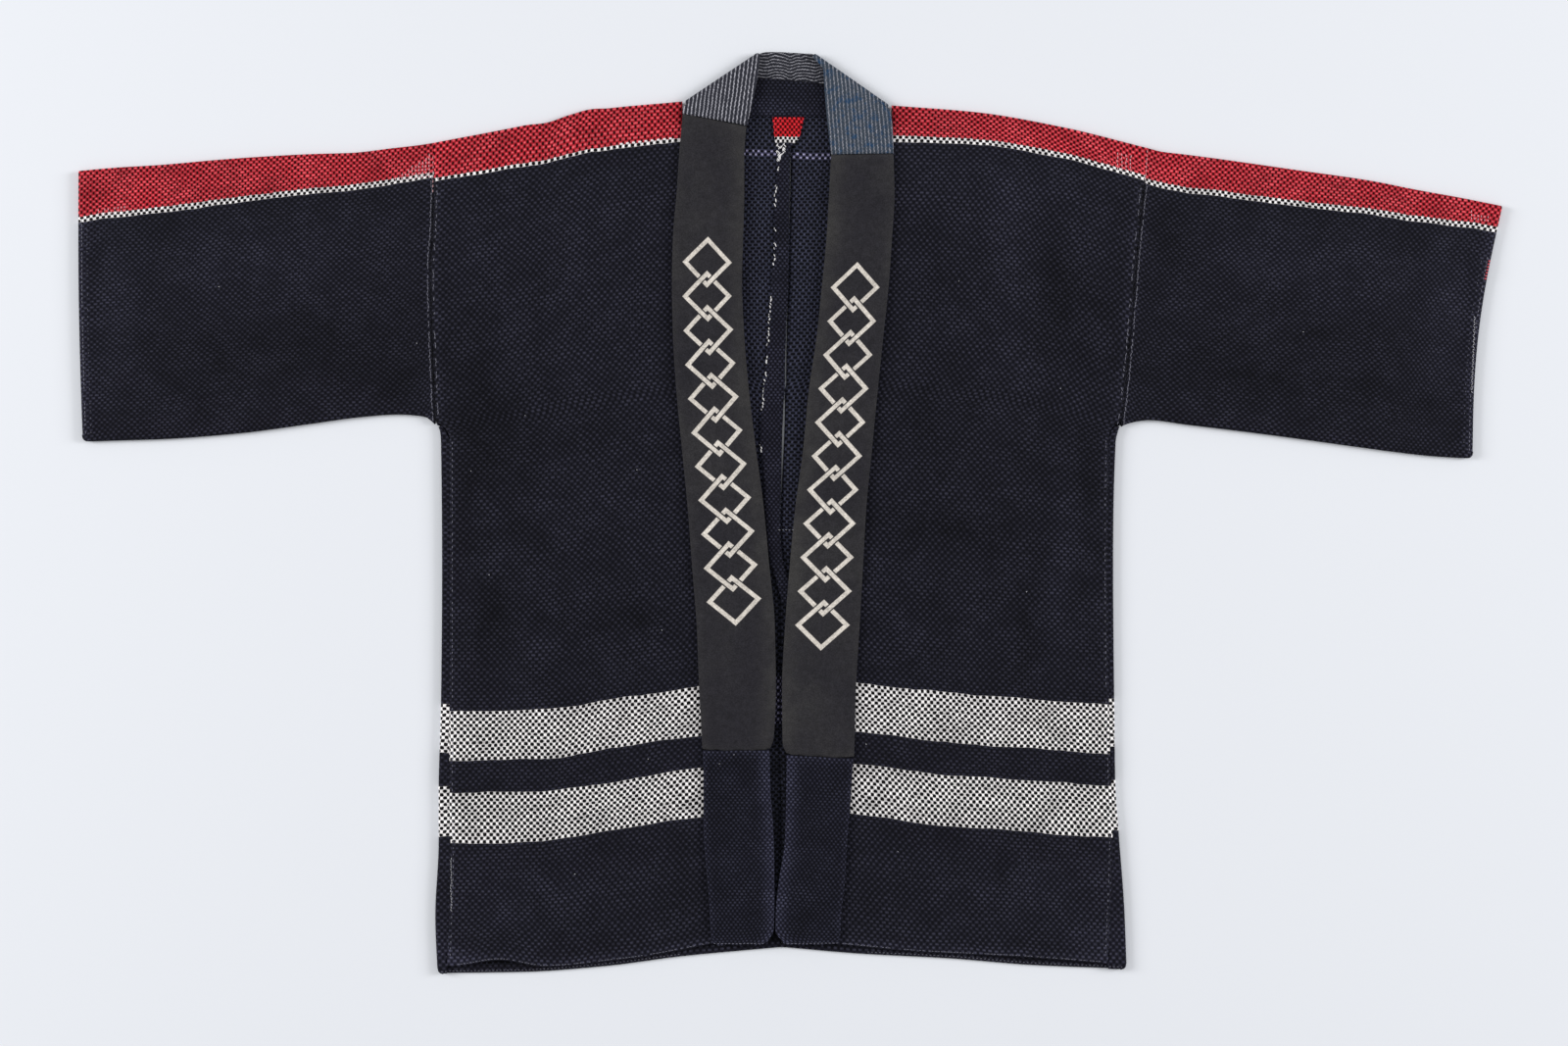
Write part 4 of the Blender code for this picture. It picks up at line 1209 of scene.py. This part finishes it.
# x and y of the sewn edge, x and y of the free edge, height of each edge's middle, share
# of the step that makes room for the strip behind the neck
NECK_RIGHT_FRONT = (
    (-94.3, 353.1, -37.4, 342.6, 6.0, 5.2, 0),
    (-94.0, 356.5, -34.8, 355, 5.9, 5.4, 0),
    (-93.7, 358.5, -31.4, 369, 5.7, 5.5, 0),
    (-92.6, 360.3, -27.9, 387, 5.6, 5.6, 0),
)
NECK_BACK = (
    (-86, 357.5, -26.4, 406.4, 1.6, 1.6, 0),
    (-74, 353, -23.5, 407.8, 1.6, 1.6, 0),
    (-57, 352.2, -21, 408.3, 1.6, 1.6, 1),
    (-31, 352.2, -15, 408.5, 1.6, 1.6, 1),
    (-7, 352.2, -6, 408.3, 1.6, 1.6, 1),
    (21, 352.2, 6, 407.6, 1.6, 1.6, 1),
    (39, 352.2, 13, 407.2, 1.6, 1.6, 1),
    (56, 352.3, 19, 407.0, 1.6, 1.6, 1),
    (69, 353.6, 21.6, 406.2, 1.6, 1.6, 0),
    (80, 356, 23.4, 405.2, 1.6, 1.6, 0),
)
NECK_LEFT_FRONT = (
    (88.9, 357.0, 30.0, 392, 5.6, 5.6, 0),
    (89.3, 354.6, 30.6, 382, 5.6, 5.6, 0),
    (89.9, 351.5, 32, 362, 5.9, 5.4, 0),
    (91.4, 340, 34.4, 338.4, 6.0, 5.2, 0),
    (91.9, 328, 35.8, 327, 6.0, 5.2, 0),
    (92.2, 317.9, 37.0, 317.1, 6.0, 5.2, 0),
)
NECK_FOLD_RIGHT = ((-92.8, 364.6), (-28.0, 407.8))
NECK_FOLD_LEFT = ((88.4, 361.2), (22.5, 407.0))
# A point on each front's free edge and the way that it runs, as the stripes do
STRIPE_LINES = {1: (-37.8, 341.0, 0.13, 0.99), -1: (36.9, 317.0, -0.08, 0.997)}
BACK_STRIPES = 1.22
# How far before the band's end the left front's stained cloth starts, and how it fades in
LEFT_PART = (74, 8)


def neck_stations():
    """Every section of the over-collar: both edges, the way up, and the step's share."""
    def station(row):
        up = 1.0 if row[4] > OVER_COLLAR else -1.0
        front = 0.0 if up < 0 else 1.0 if row[0] < 0 else -1.0
        return [row[0], row[1], row[4], row[2], row[3], row[5], 0.0, 0.0, up, row[6], front]

    def fold(corners, angles, front):
        sewn = np.array(corners[0], float)
        free = np.array(corners[1], float)
        along = (free - sewn) / np.linalg.norm(free - sewn)
        outwards = np.array((-along[1], along[0]))
        if outwards[1] < 0:
            outwards = -outwards
        inset = NECK_FOLD_RADIUS + OVER_COLLAR / 2
        rows = []
        for angle in angles:
            turn = math.radians(angle)
            flat = outwards * (NECK_FOLD_RADIUS * math.cos(turn) - inset)
            high = OVER_COLLAR / 2 + NECK_FOLD_RADIUS * (1 + math.sin(turn))
            rows.append([*(sewn + flat), high, *(free + flat), high,
                         *(outwards * math.cos(turn)), math.sin(turn), 0,
                         front if angle > -30 else 0.0])
        return rows

    rows = [station(row) for row in NECK_RIGHT_FRONT]
    rows += fold(NECK_FOLD_RIGHT, NECK_FOLD_ANGLES, 1.0)
    rows += [station(row) for row in NECK_BACK]
    rows += fold(NECK_FOLD_LEFT, NECK_FOLD_ANGLES[::-1], -1.0)
    rows += [station(row) for row in NECK_LEFT_FRONT]
    return np.array(rows, float)


# Where the stripes behind the neck sag: x, width, drop
DIPS = ((1, 7, 2.4), (-12, 9, -0.9), (14, 6, -0.8), (23, 5, 1.0), (-22, 6, 0.8))
# The strip behind the neck covers this share of the over-collar's width, more to the right.
# The step that makes room for it ends a little above it.
STRIP_SHARE = 0.558
STRIP_TILT = 0.001
STEP_MARGIN = 0.05
STEP_SLOPE = 0.04


def strip_top(x):
    """Share of the over-collar's width up to which the strip behind the neck covers it."""
    return STRIP_SHARE - STRIP_TILT * x


def make_over_collar():
    """The striped cover as one band that turns over at both slanting folds.

    Its shade tells the material where it is: -1 behind the neck, 1 on the left front.
    """
    rows = neck_stations()
    middle = (rows[:, :3] + rows[:, 3:6]) / 2
    run = np.concatenate(((0,), np.cumsum(np.linalg.norm(np.diff(middle, axis=0), axis=1))))
    at = np.linspace(0, run[-1], round(run[-1] / NECK_CELL))
    at = np.unique(np.concatenate((at, run)))
    columns = [smooth(run, rows[:, col], at) for col in range(rows.shape[1])]
    width = float(np.mean(np.linalg.norm(rows[:, :3] - rows[:, 3:6], axis=1)))
    shares, rises, round_way = band_outline(width, OVER_COLLAR)
    places = []
    across_cloth = []
    shade = []
    for station, row in zip(at, zip(*columns)):
        sewn_x, sewn_y, sewn_z, free_x, free_y, free_z, nx, ny, nz, step, front = row
        sewn = np.array((sewn_x, sewn_y, sewn_z))
        free = np.array((free_x, free_y, free_z))
        normal = np.array((nx, ny, nz))
        normal /= np.linalg.norm(normal)
        below_top = strip_top(sewn_x) + STEP_MARGIN - shares
        lowered = step * NECK_STEP * np.clip(below_top / STEP_SLOPE, 0, 1)
        rise = np.where(rises < 0, np.minimum(rises + lowered, 0), rises)
        spot = sewn + shares[:, None] * (free - sewn) + rise[:, None] * normal
        places.append(spot)
        if abs(front) > 0.5:
            x0, y0, way_x, way_y = STRIPE_LINES[round(front)]
            across_cloth.append((spot[:, 0] - x0) * way_y - (spot[:, 1] - y0) * way_x)
            stained = np.clip((station - run[-1] + LEFT_PART[0]) / LEFT_PART[1], 0, 1)
            shade.append(np.full(len(shares), stained if front < 0 else 0.0))
        else:
            dips = sum(drop * window(spot[:, 0] - at_x, wide) for at_x, wide, drop in DIPS)
            across_cloth.append((spot[:, 1] + dips) * BACK_STRIPES)
            shade.append(np.full(len(shares), -1.0))
    return cloth_piece("over_collar_band", places, across_cloth, at[:, None], shade,
                       tube="capped")


STRIPE_PITCH = 3.4
TWILL_STEP = 1.5
TWILL_SWAY = 0.14
STRIPE = "B7B7C0"
SLATE = "2C2D36"
GREY_BLUE = "3A434F"
INDIGO = "213F5E"


def striped_cotton(name):
    """Slate cotton with thin light stripes, and indigo stains on the left front."""
    material, tree, shader = new_material(name, 0.9, 0.12, 0.03)
    place = add(tree, "ShaderNodeUVMap", uv_map="cloth")
    parts = add(tree, "ShaderNodeSeparateXYZ", {0: place})
    coordinates = add(tree, "ShaderNodeTexCoord").outputs["Object"]
    shade = add(tree, "ShaderNodeAttribute", attribute_name="shade").outputs["Fac"]
    behind = maths(tree, "MULTIPLY", shade, -1.0, clamp=True)
    left_front = maths(tree, "MULTIPLY", shade, 1.0, clamp=True)
    # The stripes sway, behind the neck the most, and the twill makes their edges zigzag
    across = maths(tree, "MULTIPLY", parts.outputs[0], 1 / MM / STRIPE_PITCH)
    sway = maths(tree, "MULTIPLY_ADD", behind, 0.9, 0.35)
    sway = maths(tree, "MULTIPLY", noise(tree, place, 70.0, 2.0), sway)
    across = maths(tree, "ADD", sway, across)
    zigzag = maths(tree, "PINGPONG", parts.outputs[1], TWILL_STEP * MM)
    across = maths(tree, "MULTIPLY_ADD", zigzag, TWILL_SWAY / TWILL_STEP / MM, across)
    light = remap(tree, from_middle(tree, across), 0.21, 0.07, kind="SMOOTHSTEP")
    broken = remap(tree, noise(tree, coordinates, 500.0, 3.0), 0.35, 0.6, 0.3, 1.0)
    light = maths(tree, "MULTIPLY", light, broken)
    # Indigo stains hide part of the stripes on the left front
    stained = remap(tree, noise(tree, coordinates, 130.0, 6.0, 0.68), 0.5, 0.64)
    blue = mix(tree, stained, linear(GREY_BLUE), linear(INDIGO))
    ground = mix(tree, left_front, linear(SLATE), blue)
    hidden = maths(tree, "MULTIPLY_ADD", stained, 0.35, 0.45)
    hidden = maths(tree, "MULTIPLY", hidden, left_front)
    light = maths(tree, "MULTIPLY", light, maths(tree, "SUBTRACT", 1.0, hidden))
    grain = remap(tree, noise(tree, coordinates, 1100.0, 2.0), 0.3, 0.7, 0.6, 1.4)
    darker = maths(tree, "MULTIPLY_ADD", behind, -0.3, 1.0)
    darker = maths(tree, "MULTIPLY", darker, grain)
    colour = mix(tree, light, ground, linear(STRIPE))
    colour = vector_maths(tree, "MULTIPLY", colour, darker)
    paint_cloth(tree, shader, colour, light, 0.4, 0.3)
    return material


over_collar = make_over_collar()
over_collar.data.materials.append(striped_cotton("striped_cotton"))
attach(over_collar, "root")
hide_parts("collar_neck")

# Strip behind the neck
# Inside the over-collar a strip of the collar's navy quilted cotton shows between it and
# the seam of the back.
BASE_STRIP = 1.0
BASE_START = -0.02
BASE_COLUMNS = 9


def make_base_strip():
    """A thin strip that lies in the step of the over-collar."""
    rows = [row[:4] for row in NECK_BACK if row[6]]
    at, (sewn_x, sewn_y, free_x, free_y) = even_rows(rows, BAND_CELL)
    middle = NECK_STEP + SEAM_GAP + BASE_STRIP / 2
    places = []
    for index in range(len(at)):
        shares = np.linspace(BASE_START, strip_top(sewn_x[index]), BASE_COLUMNS)
        x = sewn_x[index] + shares * (free_x[index] - sewn_x[index])
        y = sewn_y[index] + shares * (free_y[index] - sewn_y[index])
        places.append(np.stack((x, y, np.full(len(shares), middle)), axis=1))
    places = np.array(places)
    piece = cloth_piece("under_collar_strip", places, places[:, :, 0], -places[:, :, 1],
                        np.linspace(0.25, -0.35, BASE_COLUMNS))
    give_thickness(piece, BASE_STRIP, lower_face, lower_face)
    return piece


base_strip = make_base_strip()
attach(base_strip, "root")
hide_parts("collar_base")

# Centre back seam allowance
# The raw edges of the two back lengths are pressed to one side along the seam inside the
# back. Their red end and the white loops of the selvedge show below the neck.
ALLOWANCE_Z = 2.65
ALLOWANCE = 1.1
ALLOWANCE_PUFF = 0.2
ALLOWANCE_CELL = 2.5
ALLOWANCE_COLUMNS = 7
# y, x of its edge towards the right half, x of its edge towards the left half
SEAM_ALLOWANCE = (
    (350.4, -15, 13), (331, -13, 8), (323, -11, 1.5), (311, -10, 0.5), (272, -13, 0),
    (238, -13, -1), (203, -16, -1), (168, -18, -3), (142, -20, -4), (107, -23, -5),
    (64, -26, -6.5), (37, -24, -7), (-15, -21, -8), (-41, -18, -6), (-60, -12, 0),
    (-81, -6, 7),
)
BRIGHT_RED = ("F03C46", "AC121C", "300306", 0.38)
BRIGHT_ROWS = 7
allowance_face = woven_cotton("quilted_cotton_allowance",
                              [(0, BRIGHT_RED), (BRIGHT_ROWS, WHITE),
                               (BRIGHT_ROWS + 1, BLUE_NAVY)],
                              float_width=FINE_FLOAT_WIDTH, float_height=FINE_FLOAT_HEIGHT)


def make_seam_allowance():
    """A narrow strip down the centre back seam, red at the top."""
    ys = np.arange(SEAM_ALLOWANCE[0][0], SEAM_ALLOWANCE[-1][0], -ALLOWANCE_CELL)
    left, right = [read(SEAM_ALLOWANCE, index, ys)[:, None] for index in (1, 2)]
    shares = np.linspace(0, 1, ALLOWANCE_COLUMNS)
    x, y, z = np.broadcast_arrays(left + shares * (right - left), ys[:, None],
                                  ALLOWANCE_Z + ALLOWANCE_PUFF * np.sin(np.pi * shares))
    piece = cloth_piece("seam_allowance_strip", np.stack((x, y, z), axis=2), x,
                        SEAM_ALLOWANCE[0][0] - y)
    give_thickness(piece, ALLOWANCE - ALLOWANCE_PUFF, allowance_face, allowance_face)
    return piece


allowance = make_seam_allowance()
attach(allowance, "root")
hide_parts("centre_back_seam_allowance")

# Sewing
# Thin stitches, stray warp threads and specks lie on the finished cloth, each set down by a
# ray from above. The pale running thread follows the armholes, side seams, cuffs and hem,
# and white selvedge threads break out along the centre back seam.
RAY_HEIGHT = 50
STITCH_RISE = 0.4
# Stitches of the side seams: how far in, pitch, share that shows
SIDE_LINE = (2.4, 5.6, 0.88)
# The two lines of stitches along each armhole: how far outwards, share that shows
ARMHOLE_LINES = ((2.4, 0.9), (-2.6, 0.45))
# The two lines of stitches along each cuff: how far in, pitch, length and width of a stitch
CUFF_LINES = ((3.2, 3.6, 2.8, 0.7), (8.0, 6.4, 1.6, 0.5))
# No stitches show in the red, which reaches this far down the armholes and the cuffs
ARMHOLE_RED = 34
CUFF_RED = 44
# The lower collars' ends: x and y from and to
COLLAR_ENDS = ((-66, -381, -24, -380.8), (42, -380.4, -1, -381))
# Runs of white dashes beside the allowance: the y where each starts and ends
WHITE_RUNS = ((306, 302), (290, 272), (252, 249), (239, 231), (228, 219), (191, 147),
              (138, 132), (124, 112), (110, 91), (60, 52))
# Specks of pale fluff: x, y
SPECKS = ((-125, -218), (68, -205), (-113, -104), (-234, 86), (-135, 38), (-266, -55),
          (-282, 37), (-49, -214), (-62, -222), (-330, 150), (-411, 30), (210, -70),
          (150, 205), (455, 160), (-505, 200), (96, -300), (-190, -320), (240, 110))
sewn_cloth = [*body_pieces.values(), *sleeve_pieces.values(), *collar_pieces, over_collar,
              base_strip, allowance]
depsgraph = bpy.context.evaluated_depsgraph_get()
cloth_trees = [BVHTree.FromObject(piece, depsgraph) for piece in sewn_cloth]


def lay_threads(name, colour, threads):
    """Lay short threads on the cloth: x, y, heading in degrees, length and width of each."""
    mesh = bmesh.new()
    for x, y, heading, length, width in threads:
        start = Vector((x, y, RAY_HEIGHT)) * MM
        hits = [tree.ray_cast(start, Vector((0, 0, -1)))[0] for tree in cloth_trees]
        hits = [hit for hit in hits if hit is not None]
        if not hits:
            continue
        top = max(hits, key=lambda hit: hit.z)
        size = Matrix.Diagonal((length / 2 * MM, width / 2 * MM, width * STITCH_RISE * MM, 1))
        turn = Matrix.Rotation(math.radians(heading), 4, "Z")
        bmesh.ops.create_icosphere(mesh, subdivisions=1, radius=1,
                                   matrix=Matrix.Translation(top) @ turn @ size)
    data = bpy.data.meshes.new(name)
    mesh.to_mesh(data)
    mesh.free()
    data.shade_smooth()
    piece = bpy.data.objects.new(name, data)
    bpy.context.scene.collection.objects.link(piece)
    data.materials.append(plain_paint(name, colour, 0.8, 0.2))
    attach(piece, "root")


chance = random.Random("sewing")


def thread(*values):
    """One thread for lay_threads. A pair of numbers is a range to draw one from."""
    return tuple(chance.uniform(*value) if isinstance(value, tuple) else value
                 for value in values)


def about(value, reach):
    """The range that reaches this far to both sides of a value."""
    return value - reach, value + reach


seam_threads = []
red_threads = []
for side, sign in OUTWARD.items():
    inset, pitch, share = SIDE_LINE
    for down in np.arange(SIDE_START + 6, FRONT_HEM - 6, pitch):
        x, y = front_row(side, down, np.zeros(1))
        if chance.random() < share:
            seam_threads.append(thread(x[0] - sign * inset, y[0], about(90, 8), (2.0, 3.2),
                                       (0.5, 0.9)))
    y = ARMHOLE[side][-1][0] - ARMHOLE_RED
    while y > ARMHOLE[side][0][0] + 4:
        x = float(read(ARMHOLE[side], 1, y))
        length = chance.uniform(2.2, 4.5)
        for offset, share in ARMHOLE_LINES:
            if chance.random() < share:
                seam_threads.append(thread(about(x + sign * offset, 0.4), y, about(90, 20),
                                           length, (0.55, 0.95)))
        y -= length * 0.8
    cuff = SLEEVE[side][-1]
    for inset, pitch, length, width in CUFF_LINES:
        for y in np.arange(cuff[3] + 8, cuff[1] - CUFF_RED, pitch):
            share = (cuff[1] - y) / (cuff[1] - cuff[3])
            x = cuff[0] + share * (cuff[2] - cuff[0]) + cuff[4] * math.sin(math.pi * share)
            if chance.random() < 0.8:
                seam_threads.append(thread(x - sign * inset, y, about(90, 10), length, width))
    for share in np.linspace(0.03, 0.97, 84):
        x, y = front_row(side, FRONT_HEM - 1.2, np.array((0, share)))
        if chance.random() < 0.8:
            seam_threads.append(thread(x[1], y[1], about(0, 9), (1.8, 3), 0.6))
    for share in np.linspace(0.02, 0.98, 66):
        x, y = back_row(side, BACK_HEM - 1.5, np.array((0, share)))
        seam_threads.append(thread(x[1], y[1], about(0, 9), (1.4, 2.4), 0.7))
for x0, y0, x1, y1 in COLLAR_ENDS:
    for share in np.linspace(0, 1, 14):
        seam_threads.append(thread(x0 + share * (x1 - x0), y0 + share * (y1 - y0),
                                   about(0, 12), (1.8, 3), 0.6))
# Pale warp shows between the red floats next to the armholes and cuffs
for x in np.arange(-349, -318, 3.0):
    for step in range(round((x + 352) / 5)):
        red_threads.append(thread(about(x, 0.4), 297 + (x + 330) * 0.07 + step * 3.1,
                                  about(90, 9), 2.9, 0.75))
for start, end, low_y, slope, counts in ((-612, -588, 264.44, 0.13, (1, 2, 2, 3)),
                                         (604, 620, 260.5, -0.14, (1, 2, 3))):
    for x in np.arange(start, end, 2.9):
        for step in range(chance.choice(counts)):
            red_threads.append((x, low_y + (x - start) * slope + step * 3.1, 90, 2.6, 0.65))
for side, low_y, high_y, pitch, offset, width in (("right", 285, 318, 4.2, -1.2, 0.5),
                                                  ("left", 296, 321, 3.4, 0.9, 0.55)):
    for y in np.arange(low_y, high_y, pitch):
        red_threads.append((float(read(ARMHOLE[side], 1, y)) + offset, y,
                            90 + 2 * OUTWARD[side], 3.2, width))
for x in np.arange(290.5, 304, 3.9):
    for y in np.arange(305 - (x - 290) * 0.2, 320 - (x - 290) * 0.2, 3.2):
        red_threads.append(thread(about(x, 0.4), y, about(90, 9), 3.0, 0.7))
# Part of the way the row above the white line is white too
line_floats = [thread(-105.3 - step * 5.45, 331.4 - step * 0.62, about(0, 8), 3.3, 2.4)
               for step in range(9)]
# White selvedge threads break out beside the allowance and in a bunch below the neck
white_threads = []
for start, end in WHITE_RUNS:
    y = start
    while y > end:
        length = chance.uniform(1.8, 4.2)
        x = float(read(SEAM_ALLOWANCE, 1, y))
        white_threads.append(thread((x - 0.5, x + 1.0), y, about(90, 32), length, (0.8, 1.4)))
        y -= length * chance.uniform(0.75, 1.3)
for step in range(24):
    x = chance.uniform(-11, 0.5 - step * 0.42)
    white_threads.append(thread(x, 326.5 - step * 0.62, chance.choice((52, 60, 48, 128, 90)),
                                (2.6, 5), (0.8, 1.2)))
# Fluff and the palest threads are one piece
speck_threads = [thread(x, y, (0, 180), (0.8, 1.6), 0.7) for x, y in SPECKS]
# A thread has worked loose along the lower end of the right side seam
for y in np.arange(-352, -306, 2.4):
    speck_threads.append(thread(about(-299.5, 0.5), y, about(90, 25), 2.8, 0.5))
# A line of stitches crosses the back's inside between the collars
for x in np.arange(-9, 6, 3.1):
    speck_threads.append(thread(x, -15.2, about(0, 8), 2.2, 0.4))
# A slanting stitch closes the left cuff's edge, and the back layer's red shows above it
for step in range(31):
    speck_threads.append((606.6 - step * 0.085, 173 - step * 2.2, 52 if step % 2 else 128,
                          2.8, 0.55))
cuff_floats = [thread(619.7 - step * 0.6, 222.7 - step * 2.6, about(0, 20), 2.6, 1.7)
               for step in range(7)]
lay_threads("seam_stitches", "72727E", seam_threads)
lay_threads("red_cuff_floats", "C8525C", cuff_floats)
lay_threads("pale_warp_threads", "EFBAC0", red_threads)
lay_threads("white_line_floats", "EFEDEE", line_floats)
lay_threads("white_selvedge_threads", "E9E7E8", white_threads)
lay_threads("fluff_specks", "BDBDC2", speck_threads)
